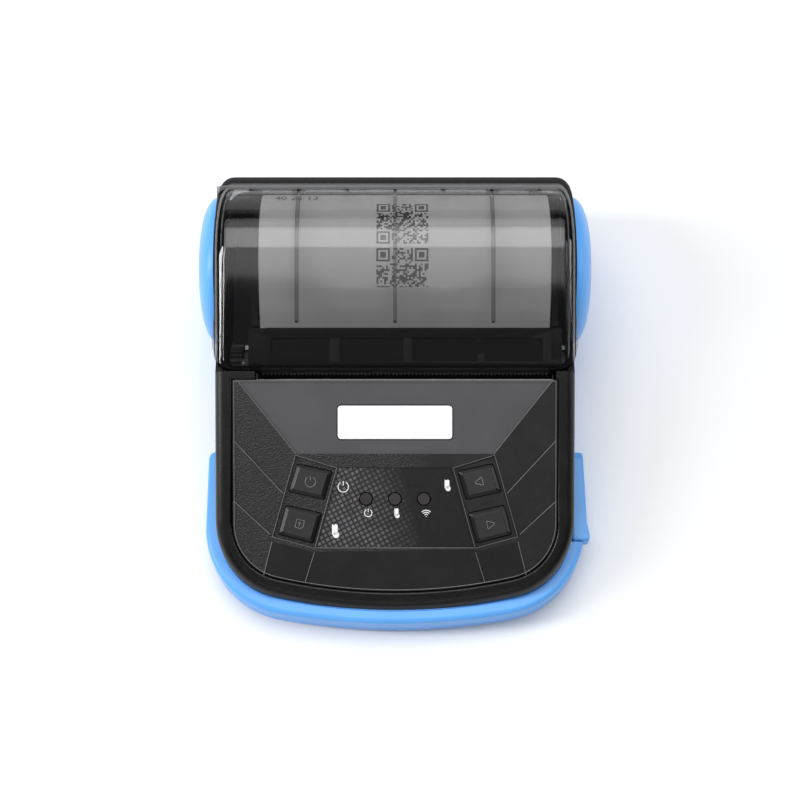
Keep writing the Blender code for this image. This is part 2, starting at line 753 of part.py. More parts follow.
def cover_tab(index):
    """Make one short tab high at the back of the dome."""
    return cover_strip(f"cover_tab_{index}", index * RIB_PITCH / 2, *TAB_ANGLES, False)


def below_panel(name, depth, low, top):
    """Make the solid below the panel's plane, open above from the exit back when it has a top."""
    front = CASE_FRONT_Y - OVERRUN
    rear = HALF_LENGTH + OVERRUN
    outline = [(front, low), (rear, low)]
    if top:
        outline += [(rear, top), (CASE_TOP_END, top), (CASE_TOP_END, panel_z(CASE_TOP_END, depth))]
    else:
        outline.append((rear, panel_z(rear, depth)))
    outline.append((front, panel_z(front, depth)))
    return side_plate(name, outline, -HALF_WIDTH, HALF_WIDTH)


def above_parting(high):
    """Make the solid above the case's side walls and rear wall, where the cover lies."""
    rear = HALF_LENGTH + OVERRUN
    outline = [
        (rear, WALL_TOP_Z), (rear, high), (CASE_TOP_END, high),
        (CASE_TOP_END, side_line_z(CASE_TOP_END) - GAP), (KNEE_Y, side_line_z(KNEE_Y) - GAP),
        (KNEE_Y, WALL_TOP_Z),
    ]
    return side_plate("above_parting", outline, -HALF_WIDTH - OVERRUN, HALF_WIDTH + OVERRUN)


def case_plan(inset):
    """Return the case's outline from above, or one inset from it."""
    return plan_outline(
        CASE_HALF, CASE_FRONT_Y, HALF_LENGTH, CASE_CORNER, CASE_BOW, CASE_REAR_CORNER, inset
    )


def panel_outline(inset):
    """Return the panel's outline in its own frame, or one inset from it."""
    corner = CASE_CORNER - RIM_WIDTH
    rear_corner = GAP
    return plan_outline(
        PANEL_HALF, 0.0, PANEL_LENGTH + GAP, corner, CASE_BOW - RIM_WIDTH, rear_corner, inset
    )


def add_case():
    """Make the black case: wedge with a round rim, panel recess, paper bay and hinge lugs."""
    low = -OVERRUN
    high = panel_z(HALF_LENGTH + 2 * OVERRUN)
    case = plate("upper_case", case_plan(0.0), low, high, "black_plastic")
    keep_common(case, below_panel("case_wedge", 0.0, 2 * low, None))
    bevel(case, RIM_RADIUS, 3)
    inner = plate("case_hollow", case_plan(WALL), 2 * low, high)
    keep_common(inner, below_panel("case_hollow_wedge", CASE_ROOF, 3 * low, high + OVERRUN))
    foot_low = (-HALF_WIDTH, -HALF_LENGTH, 2 * low)
    foot_cut = box("case_foot_cut", foot_low, (HALF_WIDTH, HALF_LENGTH + OVERRUN, CASE_BOTTOM))
    cut(case, inner, foot_cut, above_parting(high + OVERRUN))
    cut(case, plate("panel_recess", panel_outline(0.0), -RECESS_DEPTH, OVERRUN, None, PANEL))
    slot_low = (ROLL_LEFT - 2 * GAP, SLOT_FRONT_Y, panel_z(SLOT_FRONT_Y, CASE_ROOF) - OVERRUN)
    slot_high = (ROLL_RIGHT + 3 * GAP, CASE_TOP_END + OVERRUN, panel_z(CASE_TOP_END) + OVERRUN)
    cut(case, box("exit_slot", slot_low, slot_high))
    window_low = (-WINDOW_HALF, WINDOW_SHARES[0] * PANEL_LENGTH, -CASE_ROOF - OVERRUN / 2)
    window_high = (WINDOW_HALF, WINDOW_SHARES[1] * PANEL_LENGTH, 0)
    cut(case, box("key_window", window_low, window_high, None, PANEL))
    add_case_inside(case)
    add_case_lugs(case)


def add_case_inside(case):
    """Add the rails for the key board and the two posts for the front screws."""
    for side in (-1, 1):
        ends = sorted((side * WINDOW_HALF, side * (WINDOW_HALF + RAIL_WIDTH)))
        rail = box(
            f"key_rail_{side}", (ends[0], window_end(0), GAP - BOARD_DEPTH),
            (ends[1], window_end(1), GAP / 2 - CASE_ROOF), None, PANEL,
        )
        fuse(case, rail)
        spot = Matrix.Translation((side * SCREW_FRONT[0], SCREW_FRONT[1], 0))
        roof = panel_z(SCREW_FRONT[1] - POST_RADIUS, CASE_ROOF) + RECESS_FLOOR / 2
        post = drum(f"post_{side}", POST_RADIUS, FLOOR_Z + GAP, roof, None, spot, steps=SMALL_STEPS)
        fuse(case, post)
        bore = drum(
            f"post_bore_{side}", SCREW_RADIUS + GAP, FLOOR_Z - OVERRUN, screw_top() + GAP, None, spot,
            steps=SMALL_STEPS,
        )
        cut(case, bore)


def window_end(index):
    """Return one end of the window under the keys, in the panel's frame."""
    return WINDOW_SHARES[index] * PANEL_LENGTH


def screw_top():
    """Return the height of the tips of the case screws."""
    return FOOT_STAND + SCREW_HEAD_HEIGHT + GAP + SCREW_LENGTH


def add_case_lugs(case):
    """Add the lugs on either side of each of the cover's lugs, on the rear wall."""
    for side in (-1, 1):
        for place_out in (-1, 1):
            start = LUG_CENTRE + place_out * (LUG_WIDTH / 2 + GAP)
            end = start + place_out * CASE_LUG_WIDTH
            low, high = sorted((side * start, side * end))
            neck_y = (HINGE_Y - BARREL_RADIUS / 2, HINGE_Y + BARREL_RADIUS - WELD)
            sleeve, neck = barrel(
                f"case_lug_{side}_{place_out}", low, high, neck_y,
                (WALL_TOP_Z - WALL, HINGE_Z - BARREL_RADIUS / 4),
            )
            fuse(case, sleeve, neck)
        low, high = sorted((side * (LUG_CENTRE - LUG_REACH - GAP), side * (LUG_CENTRE + LUG_REACH + GAP)))
        wide = PIN_RADIUS + GAP
        cut(case, drum(f"case_bore_{side}", wide, low, high, None, hinge_frame(), steps=SMALL_STEPS))


def add_hinge_pins():
    """Make the two steel pins that the cover swings on."""
    for name, side in (("hinge_pin_left", -1), ("hinge_pin_right", 1)):
        low, high = sorted((side * (LUG_CENTRE - LUG_REACH), side * (LUG_CENTRE + LUG_REACH)))
        drum(name, PIN_RADIUS, low, high, "steel", hinge_frame(), steps=SMALL_STEPS)


def key_joints():
    """Make the empties that the keys slide on, one at each key's middle."""
    joints = {}
    for name, (shares, side) in KEYS.items():
        centre = middle(on_key_panel(shares, side))
        joints[name] = axis(name + "_axis", PANEL @ Vector((centre.x, centre.y, 0)))
    return joints


KEYS = {
    "power": (UPPER_KEY_SHARES, -1),
    "feed": (LOWER_KEY_SHARES, -1),
    "back": (UPPER_KEY_SHARES, 1),
    "forward": (LOWER_KEY_SHARES, 1),
}


def add_panel():
    """Make the faceted panel with its pockets, key holes, lamp holes and seats."""
    holes = [offset(on_key_panel(shares, side), GAP) for shares, side in KEYS.values()]
    for place_out in (-1, 0, 1):
        spot = (place_out * LED_PITCH, LED_SHARE * PANEL_LENGTH)
        holes.append(circle(spot, LED_RADIUS + GAP, SMALL_STEPS))
    bottom = -PANEL_DROP - PANEL_THICKNESS
    panel = plate(
        "face_panel", panel_outline(GAP), bottom, -PANEL_DROP, "panel_plastic", PANEL, holes=holes
    )
    for side in (-1, 1):
        pocket = on_key_panel(POCKET_SHARES, side)
        cut(panel, plate(f"pocket_{side}", pocket, -PANEL_DROP - POCKET_DEPTH, OVERRUN, None, PANEL))
        for index, ends in enumerate(GROOVE_SHARES):
            cut(panel, panel_groove(f"groove_{side}_{index}", on_key_panel(ends, side)))
    cut(panel, plate("band", band_outline(), -PANEL_DROP - BAND_DEPTH, OVERRUN, None, PANEL))
    seat_low = overlay_bottom() - GAP
    cut(panel, plate("overlay_seat", overlay_outline(0.0), seat_low, OVERRUN, None, PANEL))
    seat_low = label_bottom() - GAP
    cut(panel, plate("label_seat", label_outline(GAP), seat_low, OVERRUN, None, PANEL))


def panel_groove(name, ends):
    """Make the cutter of one V-shaped line between two facets."""
    level = GROOVE / 4 - PANEL_DROP
    start, end = Vector((*ends[0], level)), Vector((*ends[1], level))
    along = end - start
    turn = along.to_track_quat("Z", "Y").to_matrix().to_4x4()
    frame = PANEL @ Matrix.Translation(start) @ turn
    return drum(name, GROOVE, 0, along.length, None, frame, steps=4)


def band_outline():
    """Return the outline of the smooth upper field, wide at the paper exit."""
    right = on_key_panel(BAND_SHARES)
    left = on_key_panel(BAND_SHARES, -1)
    rise = Vector((0, OVERRUN))
    top_right = Vector(right[0]) + rise
    top_left = Vector(left[0]) + rise
    return [tuple(top_left), left[0], left[1], right[1], right[0], tuple(top_right)]


def overlay_outline(inset):
    """Return the outline of the dark sheet between the keys."""
    right = on_key_panel(OVERLAY_SHARES)
    left = on_key_panel(OVERLAY_SHARES, -1)
    return offset([left[0], left[1], right[1], right[0]], -inset)


def overlay_bottom():
    """Return the level of the dark sheet's underside in the panel's frame."""
    return -PANEL_DROP - BAND_DEPTH - OVERLAY_THICKNESS / 2


def label_bottom():
    """Return the level of the white plate's underside in the panel's frame."""
    return -PANEL_DROP - BAND_DEPTH - LABEL_THICKNESS / 2


def label_outline(margin):
    """Return the white plate's outline, or one a margin wider."""
    centre = LABEL_SHARE * PANEL_LENGTH
    half = Vector((LABEL_LENGTH / 2 + margin, LABEL_HEIGHT / 2 + margin))
    radius = LABEL_THICKNESS * 2 + margin
    points = []
    for turn, (x, y) in enumerate(((1, 1), (-1, 1), (-1, -1), (1, -1))):
        corner = (x * (half.x - radius), centre + y * (half.y - radius))
        points += arc(corner, radius, turn * math.pi / 2, (turn + 1) * math.pi / 2, 3)
    return points


def add_panel_sheets():
    """Make the dark sheet with its lamp windows, the white plate and the lamps."""
    spots = [(place_out * LED_PITCH, LED_SHARE * PANEL_LENGTH) for place_out in (-1, 0, 1)]
    holes = [circle(spot, LED_RADIUS + GAP, SMALL_STEPS) for spot in spots]
    low = overlay_bottom()
    top = low + OVERLAY_THICKNESS
    plate("overlay_sheet", overlay_outline(GAP), low, top, "overlay_film", PANEL, holes=holes)
    low = label_bottom()
    plate("label_plate", label_outline(0.0), low, low + LABEL_THICKNESS, "label_film", PANEL)
    for name, spot in zip(("led_left", "led_middle", "led_right"), spots):
        frame = PANEL @ Matrix.Translation((*spot, 0))
        drum(name, LED_RADIUS, GAP - BOARD_DEPTH, top, "lamp_lens", frame, steps=SMALL_STEPS)


def add_keys(joints):
    """Make the four keys, each a bevelled cap with a flange and a stem, and their switches."""
    flange_top = -PANEL_DROP - PANEL_THICKNESS - GAP
    flange_low = flange_top - KEY_FLANGE_THICKNESS
    for name, (shares, side) in KEYS.items():
        cap = on_key_panel(shares, side)
        centre = middle(cap)
        spot = PANEL @ Matrix.Translation((centre.x, centre.y, 0))
        key = plate(
            f"{name}_button", cap, flange_low, KEY_PROUD - PANEL_DROP, "key_plastic", PANEL, joints[name]
        )
        bevel(key, KEY_BEVEL, 2)
        wide = plate(f"{name}_flange", offset(cap, KEY_FLANGE), flange_low, flange_top, None, PANEL)
        stem_low = flange_low - STEM_LENGTH
        stem_top = flange_low + KEY_FLANGE_THICKNESS / 2
        stem = drum(f"{name}_stem", STEM_RADIUS, stem_low, stem_top, None, spot, steps=SMALL_STEPS)
        fuse(key, wide, stem)
        half = SWITCH_SIZE / 2
        low = GAP - BOARD_DEPTH
        plate(
            f"key_switch_{name}", rectangle((-half, -half), (half, half)), low, low + SWITCH_HEIGHT,
            "bush_plastic", spot, holes=[circle((0, 0), STEM_RADIUS + GAP, SMALL_STEPS)],
        )


def add_key_board():
    """Make the board under the keys."""
    low = (-BOARD_HALF, BOARD_SHARES[0] * PANEL_LENGTH, -BOARD_DEPTH - BOARD_THICKNESS)
    high = (BOARD_HALF, BOARD_SHARES[1] * PANEL_LENGTH, -BOARD_DEPTH)
    box("key_board", low, high, "circuit_board", PANEL)


def sill_plan(inset, rear):
    """Return the outline of the blue sill, or one inset from it."""
    return plan_outline(
        SILL_HALF, -HALF_LENGTH, rear, SILL_CORNER, SILL_BOW, SILL_REAR_CORNER, inset
    )


def add_shell():
    """Make the blue tub: floor and walls, front sill, round cheeks and every opening."""
    shell = plate("lower_shell", case_plan(0.0), FOOT_STAND, PARTING_Z, "blue_plastic")
    mark_edges(shell.data, lambda first, second: first.z < WELD and second.z < WELD)
    bevel_marked(shell, TUB_EDGE, 2)
    sill = plate("sill", sill_plan(0.0, SILL_REAR_Y), FOOT_STAND + SILL_LIFT, PARTING_Z - SILL_DROP)
    bevel(sill, SILL_EDGE, 2)
    fuse(shell, sill)
    for side in (-1, 1):
        fuse(shell, *lobe(side))
    cavity = plate("tub_cavity", case_plan(WALL), FLOOR_Z, PARTING_Z + OVERRUN)
    front = plate("sill_cavity", sill_plan(WALL, SILL_REAR_Y), FLOOR_Z, PARTING_Z - WALL)
    front_low = (-HALF_WIDTH, -HALF_LENGTH, 0)
    keep_common(front, box("sill_cavity_reach", front_low, (HALF_WIDTH, CAVITY_REAR_Y, PARTING_Z)))
    cut(shell, cavity, front)
    cut_lever_seat(shell)
    cut_sockets(shell)
    cut_floor(shell)


def lobe(side):
    """Make one round cheek: a shallow dish over the roll's end, and its root on the tub."""
    face = [(LOBE_RADIUS * r, LOBE_BULGE * h) for r, h in LOBE_PROFILE_SHARES]
    back = [
        ((LOBE_RADIUS - LOBE_WALL) * r, (LOBE_BULGE - LOBE_WALL) * h)
        for r, h in reversed(LOBE_PROFILE_SHARES[::4])
    ]
    profile = face + [(LOBE_RADIUS, 0.0), (LOBE_RADIUS - LOBE_WALL, 0.0)] + back
    turn = Matrix.Rotation(side * math.pi / 2, 4, "Y")
    frame = Matrix.Translation((side * LOBE_INNER, LOBE_Y, LOBE_Z)) @ turn
    dish = turned(f"lobe_{side}", profile, None, frame, steps=WIDE_STEPS)
    reach = math.sqrt(LOBE_RADIUS ** 2 - (LOBE_Z - PARTING_Z) ** 2)
    ends = sorted((side * (CASE_HALF - WALL / 2), side * (LOBE_INNER + LOBE_WALL)))
    root = box(
        f"lobe_root_{side}",
        (ends[0], LOBE_Y - reach + LOBE_WALL, FLOOR_Z + WALL),
        (ends[1], LOBE_Y + reach - LOBE_WALL, PARTING_Z - GAP),
    )
    return dish, root


def cut_lever_seat(shell):
    """Cut the pocket for the release lever and the bore for its pin."""
    low = (CASE_HALF, LEVER_FRONT_Y - GAP, LEVER_BOTTOM - LEVER_LEDGE)
    high = (HALF_WIDTH + OVERRUN, LEVER_REAR_Y + OVERRUN, PARTING_Z + OVERRUN)
    pin = Matrix.Translation((0, LEVER_PIVOT_Y, LEVER_PIVOT_Z)) @ TURNED
    bore = drum(
        "lever_bore", LEVER_BORE_RADIUS, lever_pin_start() - OVERRUN, SILL_HALF + OVERRUN, None, pin,
        steps=SMALL_STEPS,
    )
    cut(shell, box("lever_seat", low, high), bore)


def lever_pin_start():
    """Return the inner end of the lever's pin on X."""
    return CASE_HALF - WALL


def add_lever(joint):
    """Make the release lever: round rear end on its pin, and a lip that flares at the front."""
    inner = CASE_HALF + GAP
    outer = SILL_HALF + LEVER_OUT
    pivot = (LEVER_PIVOT_Y, LEVER_PIVOT_Z)
    side_outline = arc(pivot, LEVER_HALF_HEIGHT, -math.pi / 2, math.pi / 2, CORNER_STEPS)
    side_outline += [(LEVER_FRONT_Y, PARTING_Z), (LEVER_FRONT_Y, LEVER_BOTTOM)]
    far = outer + LEVER_FLARE
    lever = side_plate("release_lever", side_outline, inner, far, "blue_plastic", joint)
    lip_y = LEVER_FRONT_Y + LEVER_LIP
    plan = [
        (inner - OVERRUN, LEVER_FRONT_Y - OVERRUN),
        (outer + LEVER_FLARE / 2, LEVER_FRONT_Y - OVERRUN),
        (outer + LEVER_FLARE, LEVER_FRONT_Y + LEVER_LIP / 3),
        (outer + LEVER_FLARE / 4, lip_y + LEVER_LIP / 4),
        (outer - LEVER_FLARE / 4, LEVER_REAR_Y + OVERRUN),
        (inner - OVERRUN, LEVER_REAR_Y + OVERRUN),
    ]
    keep_common(lever, plate("lever_plan", plan, LEVER_BOTTOM - OVERRUN, PARTING_Z + OVERRUN))
    bevel(lever, LEVER_EDGE, 2)
    frame = Matrix.Translation((0, LEVER_PIVOT_Y, LEVER_PIVOT_Z)) @ TURNED
    end = inner + LEVER_PIN_DEPTH / 2
    start = inner - OVERRUN
    cut(lever, drum("lever_hole", LEVER_BORE_RADIUS, start, end + GAP, None, frame, steps=SMALL_STEPS))
    drum("lever_pin", LEVER_PIN_RADIUS, lever_pin_start(), end, "steel", frame, steps=SMALL_STEPS)


def cut_sockets(shell):
    """Cut the openings of the data socket and the power jack in the left wall."""
    base = socket_base()
    for name, centre, (length, height) in (("usb", USB_Y, USB_SIZE), ("jack", JACK_Y, JACK_SIZE)):
        low = (-CASE_HALF - OVERRUN, centre - length / 2 - GAP, base - GAP)
        high = (WALL + GAP - CASE_HALF, centre + length / 2 + GAP, base + height + GAP)
        cut(shell, box(f"{name}_opening", low, high))


def socket_base():
    """Return the height that the sockets stand on, just above the main board."""
    return MAIN_BOARD_Z + BOARD_THICKNESS + GAP


def cut_floor(shell):
    """Cut the battery hatch, the feet's seats and the screw holes in the floor."""
    low = (BATTERY_LOW[0] - GAP, BATTERY_LOW[1] - GAP, FOOT_STAND - OVERRUN)
    high = (BATTERY_HIGH[0] + GAP, BATTERY_HIGH[1] + GAP, FLOOR_Z + GAP)
    cut(shell, box("battery_hatch", low, high))
    low, high = door_corners(GAP)
    low = (low[0], low[1] - DOOR_TRAVEL, FOOT_STAND - OVERRUN)
    cut(shell, box("door_seat", low, (high[0], high[1], FOOT_STAND + DOOR_THICKNESS + GAP)))
    for name, x, y in foot_places():
        spot = Matrix.Translation((x, y, 0))
        seat_top = FOOT_STAND + FOOT_SINK + GAP
        seat = drum(f"{name}_seat", FOOT_RADIUS + GAP, -OVERRUN, seat_top, None, spot, steps=MEDIUM_STEPS)
        cut(shell, seat)
    for name, x, y in screw_places():
        spot = Matrix.Translation((x, y, 0))
        head_seat = FOOT_STAND + SCREW_HEAD_HEIGHT + GAP
        wide = SCREW_HEAD + GAP
        cut(shell, drum(f"{name}_seat", wide, -OVERRUN, head_seat, None, spot, steps=SMALL_STEPS))
        reach = SCREW_RADIUS + GAP
        cut(shell, drum(f"{name}_hole", reach, -OVERRUN, FLOOR_Z + GAP, None, spot, steps=SMALL_STEPS))


def door_corners(margin):
    """Return the battery door's low and high corners, or those of its seat."""
    reach = DOOR_MARGIN + margin
    low = (BATTERY_LOW[0] - reach, BATTERY_LOW[1] - reach, FOOT_STAND)
    high = (BATTERY_HIGH[0] + reach, BATTERY_HIGH[1] + reach, FOOT_STAND + DOOR_THICKNESS)
    return low, high


def add_battery(joint):
    """Make the battery, its sliding door with grip lines, and the terminal block."""
    pack = box("battery_pack", BATTERY_LOW, BATTERY_HIGH, "battery_wrap")
    bevel(pack, BATTERY_EDGE, 2)
    low, high = door_corners(0.0)
    door = box("battery_door", low, high, "black_plastic", parent=joint)
    for index in range(3):
        y = low[1] + DOOR_MARGIN + index * DOOR_MARGIN
        middle_x = (low[0] + high[0]) / 2
        half = (high[0] - low[0]) / 6
        grip_low = (middle_x - half, y, FOOT_STAND - OVERRUN)
        grip_high = (middle_x + half, y + DOOR_GRIP * 2, FOOT_STAND + DOOR_GRIP)
        cut(door, box(f"grip_{index}", grip_low, grip_high))
    block_x = BATTERY_LOW[0] - GAP
    block_y = (BATTERY_LOW[1] + BATTERY_HIGH[1]) / 2
    size = Vector(TERMINAL_SIZE)
    block = box(
        "battery_terminal",
        (block_x - size.x, block_y - size.y / 2, FLOOR_Z + GAP),
        (block_x, block_y + size.y / 2, FLOOR_Z + GAP + size.z), "bush_plastic",
    )
    for index in (-1, 0, 1):
        y = block_y + index * size.y / 3
        slit = (block_x - size.x / 2, y - DOOR_GRIP, FLOOR_Z + WALL)
        slit_far = (block_x + OVERRUN, y + DOOR_GRIP, FLOOR_Z + size.z / 2 + WALL)
        cut(block, box(f"terminal_slit_{index}", slit, slit_far))


def corner_places(kind, front, rear):
    """Return the names and places of four pieces of a kind, one in each corner."""
    return [
        (f"{kind}_{end}_{name}", side * spot[0], spot[1])
        for end, spot in (("front", front), ("rear", rear))
        for name, side in (("left", -1), ("right", 1))
    ]


def foot_places():
    """Return the feet's names and places."""
    return corner_places("foot", FOOT_FRONT, FOOT_REAR)


def screw_places():
    """Return the case screws' names and places."""
    return corner_places("screw", SCREW_FRONT, SCREW_REAR)


def add_feet_and_screws():
    """Make the rubber feet and the four case screws."""
    for name, x, y in foot_places():
        spot = Matrix.Translation((x, y, 0))
        drum(name, FOOT_RADIUS, 0, FOOT_STAND + FOOT_SINK, "rubber", spot, steps=MEDIUM_STEPS)
    head_low = FOOT_STAND
    neck = head_low + SCREW_HEAD_HEIGHT
    for name, x, y in screw_places():
        profile = (
            (0, screw_top()), (SCREW_RADIUS / 2, screw_top()), (SCREW_RADIUS, screw_top() - SCREW_RADIUS),
            (SCREW_RADIUS, neck), (SCREW_HEAD, neck), (SCREW_HEAD, head_low + SCREW_HEAD_HEIGHT / 3),
            (SCREW_HEAD * 0.8, head_low), (0, head_low),
        )
        spot = Matrix.Translation((x, y, 0))
        turned(name, profile, "steel", spot, steps=SMALL_STEPS)


def add_bucket():
    """Make the trough that the roll lies in, with its end walls, ribs and screw bosses."""
    outer = BUCKET_RADIUS + BUCKET_WALL
    left = BUCKET_LEFT - BUCKET_WALL
    right = BUCKET_RIGHT + BUCKET_WALL
    bucket = side_plate("paper_bucket", bucket_end(outer), left, right, "black_plastic")
    for index in (-1, 0, 1):
        x = ROLL_SHIFT + index * (ROLL_WIDTH / 3)
        rib = box(
            f"bucket_rib_{index}",
            (x - BUCKET_RIB / 2, ROLL_Y - BUCKET_RADIUS / 2, FLOOR_Z + GAP),
            (x + BUCKET_RIB / 2, ROLL_Y + BUCKET_RADIUS / 2, BUCKET_Z - BUCKET_RADIUS - BUCKET_WALL / 2),
        )
        fuse(bucket, rib)
    for side in (-1, 1):
        spot = Matrix.Translation((side * SCREW_REAR[0], SCREW_REAR[1], 0))
        drop = math.sqrt(outer ** 2 - (SCREW_REAR[1] - ROLL_Y) ** 2)
        boss_top = BUCKET_Z - drop + BUCKET_BOSS_RADIUS
        wide = BUCKET_BOSS_RADIUS
        low = FLOOR_Z + GAP
        fuse(bucket, drum(f"bucket_boss_{side}", wide, low, boss_top, None, spot, steps=SMALL_STEPS))
        wide = SCREW_RADIUS + GAP
        low = FLOOR_Z - OVERRUN
        top = screw_top() + GAP
        cut(bucket, drum(f"boss_bore_{side}", wide, low, top, None, spot, steps=SMALL_STEPS))
    frame = roller_frame(ROLL_Y, BUCKET_Z)
    ends = (BUCKET_LEFT, BUCKET_RIGHT)
    cut(bucket, drum("bucket_hollow", BUCKET_RADIUS, *ends, None, frame, steps=WIDE_STEPS))


def bucket_end(outer):
    """Return the outline of the trough's end wall, a disc cut flat above the roll's middle."""
    centre = (ROLL_Y, BUCKET_Z)
    lift = math.asin(BUCKET_END_RISE / outer)
    outline = arc(centre, outer, -math.pi - lift, -BUCKET_REAR_ANGLE, ARC_STEPS)
    outline.append((ROLL_Y + outer * BUCKET_REAR_SHARE, BUCKET_Z + BUCKET_END_RISE))
    return outline


def add_roll(joint):
    """Make the paper roll on its card core."""
    frame = roller_frame(ROLL_Y, ROLL_Z)
    bore = CORE_RADIUS + GAP
    tube("paper_roll", ROLL_RADIUS, bore, ROLL_LEFT, ROLL_RIGHT, "paper", frame, joint, WIDE_STEPS)
    bore = CORE_RADIUS - CORE_WALL
    tube("roll_core", CORE_RADIUS, bore, ROLL_LEFT, ROLL_RIGHT, "core_card", frame, joint, MEDIUM_STEPS)


def web_line(side_out):
    """Return one face of the web: off the roll, under the platen and up into the exit."""
    roll = Vector((ROLL_Y, ROLL_Z))
    platen = Vector((PLATEN_Y, PLATEN_Z))
    inner = GAP + (PAPER if side_out else 0.0)
    roll_radius = ROLL_RADIUS + inner
    platen_radius = PLATEN_RADIUS + GAP + (0.0 if side_out else PAPER)
    between = platen - roll
    bearing = math.atan2(between.y, between.x)
    turn = bearing - math.acos((roll_radius + platen_radius) / between.length)
    start = roll + roll_radius * Vector((math.cos(turn), math.sin(turn)))
    points = [tuple(start)]
    points += arc(platen, platen_radius, turn - math.pi, -math.pi, CORNER_STEPS)
    points.append((points[-1][0], panel_z(SLOT_FRONT_Y)))
    return points


def add_web():
    """Make the paper between the roll and the exit as one thin strip."""
    outline = web_line(True) + list(reversed(web_line(False)))
    side_plate("paper_web", outline, ROLL_LEFT, ROLL_RIGHT, "paper")


def add_platen(cover_joint, platen_joint):
    """Make the platen with its shaft, bushes and gear, and the carrier under the cover."""
    frame = roller_frame(PLATEN_Y, PLATEN_Z)
    tube(
        "platen_rubber", PLATEN_RADIUS, BUSH_BORE, RUBBER_LEFT, RUBBER_RIGHT, "rubber", frame,
        platen_joint,
    )
    low = PLATE_LEFT - SIDE_PLATE
    high = PLATE_RIGHT + SIDE_PLATE
    drum("platen_shaft", SHAFT_RADIUS, GEAR_LEFT - GAP, high, "steel", frame, platen_joint, MEDIUM_STEPS)
    for name, start in (("platen_bush_left", low), ("platen_bush_right", high - BUSH_LENGTH)):
        tube(
            name, BUSH_RADIUS, BUSH_BORE, start, start + BUSH_LENGTH, "bush_plastic", frame,
            cover_joint, MEDIUM_STEPS,
        )
    add_carrier(cover_joint)


def add_carrier(joint):
    """Make the platen's carrier: roof and rear wall along the cover, and two side plates."""
    front = COVER_FRONT_Y + COVER_WALL + GAP
    rear = COVER_FRONT_Y + FRAME_LENGTH + FRAME_PLATE
    roof = cover_line(COVER_WALL + GAP, 0.0, front)[-1][1]
    slope = (cover_line(0.0, 0.0, front)[-1][1] - cover_line(0.0, 0.0, rear)[-1][1]) / (front - rear)
    rear_roof = roof + slope * (rear - front)
    chin = PLATEN_Z - BUSH_RADIUS - GAP - FRAME_PLATE / 2
    outline = [
        (front, roof), (front, chin), (PLATEN_Y + BUSH_RADIUS + FRAME_PLATE, chin),
        (rear, rear_roof - FRAME_REAR_DROP), (rear, rear_roof),
    ]
    left = FRAME_LEFT - FRAME_PLATE
    right = FRAME_RIGHT + FRAME_PLATE
    carrier = side_plate("platen_frame", outline, left, right, "black_plastic", joint)
    hollow = [
        (front - OVERRUN, roof - FRAME_PLATE - slope * OVERRUN), (front - OVERRUN, chin - OVERRUN),
        (rear + OVERRUN, chin - OVERRUN), (rear + OVERRUN, rear_roof - FRAME_REAR_DROP),
        (rear - FRAME_PLATE, rear_roof - FRAME_REAR_DROP),
        (rear - FRAME_PLATE, rear_roof - FRAME_PLATE - slope * FRAME_PLATE),
    ]
    cut(carrier, side_plate("carrier_hollow", hollow, FRAME_LEFT, FRAME_RIGHT))
    frame = roller_frame(PLATEN_Y, PLATEN_Z)
    cut(carrier, drum("bush_bore", BUSH_RADIUS + GAP, left - OVERRUN, right + OVERRUN, None, frame))
    for index in (-1, 0, 1):
        x = ROLL_SHIFT + index * FRAME_GROOVE_PITCH
        groove = box(
            f"carrier_groove_{index}",
            (x - FRAME_GROOVE / 2, front + FRAME_PLATE, roof - FRAME_PLATE / 2),
            (x + FRAME_GROOVE / 2, rear + OVERRUN, rear_roof + OVERRUN),
        )
        cut(carrier, groove)
    add_tear_bar(joint)


def add_tear_bar(joint):
    """Make the serrated strip behind the exit: one tooth drawn, the rest repeated along it."""
    lip_low = cover_line(0.0, 0.0, COVER_FRONT_Y)[-1][1] - COVER_LIP - GAP
    teeth = int((ROLL_WIDTH - TOOTH_PITCH) // TOOTH_PITCH)
    start = ROLL_SHIFT - teeth * TOOTH_PITCH / 2
    outline = []
    for index in range(teeth):
        outline.append((start + index * TOOTH_PITCH, 0.0))
        outline.append((start + (index + 0.5) * TOOTH_PITCH, -TOOTH_DEPTH))
    outline.append((start + teeth * TOOTH_PITCH, 0.0))
    outline += [(start + teeth * TOOTH_PITCH, TEAR_LENGTH), (start, TEAR_LENGTH)]
    edge = COVER_FRONT_Y + TOOTH_DEPTH / 3
    place_at = Matrix.Translation((0, edge, lip_low - TEAR_PLATE))
    plate("tear_bar", outline, 0, TEAR_PLATE, "steel", place_at, joint)


def gear_outline(teeth, first):
    """Return a spur gear's outline with involute flanks, a tooth's middle at the first angle."""
    pitch = MODULE * teeth / 2
    base = pitch * math.cos(PRESSURE_ANGLE)
    tip = pitch + MODULE
    root = pitch - 1.25 * MODULE
    lowest = max(base, root)
    half_pitch = math.pi / (2 * teeth) - BACKLASH / (2 * pitch)

    def half_angle(radius):
        flank = math.acos(min(1.0, base / radius))
        at_pitch = math.tan(PRESSURE_ANGLE) - PRESSURE_ANGLE
        return half_pitch + at_pitch - (math.tan(flank) - flank)

    radii = [lowest, pitch, tip]
    points = []
    for index in range(teeth):
        middle_turn = first + 2 * math.pi * index / teeth
        rise = [(radius, middle_turn - half_angle(radius)) for radius in radii]
        fall = [(radius, middle_turn + half_angle(radius)) for radius in reversed(radii)]
        ends = half_angle(lowest)
        tooth = [(root, middle_turn - ends), *rise, *fall, (root, middle_turn + ends)]
        points += [(r * math.cos(a), r * math.sin(a)) for r, a in tooth]
    return points


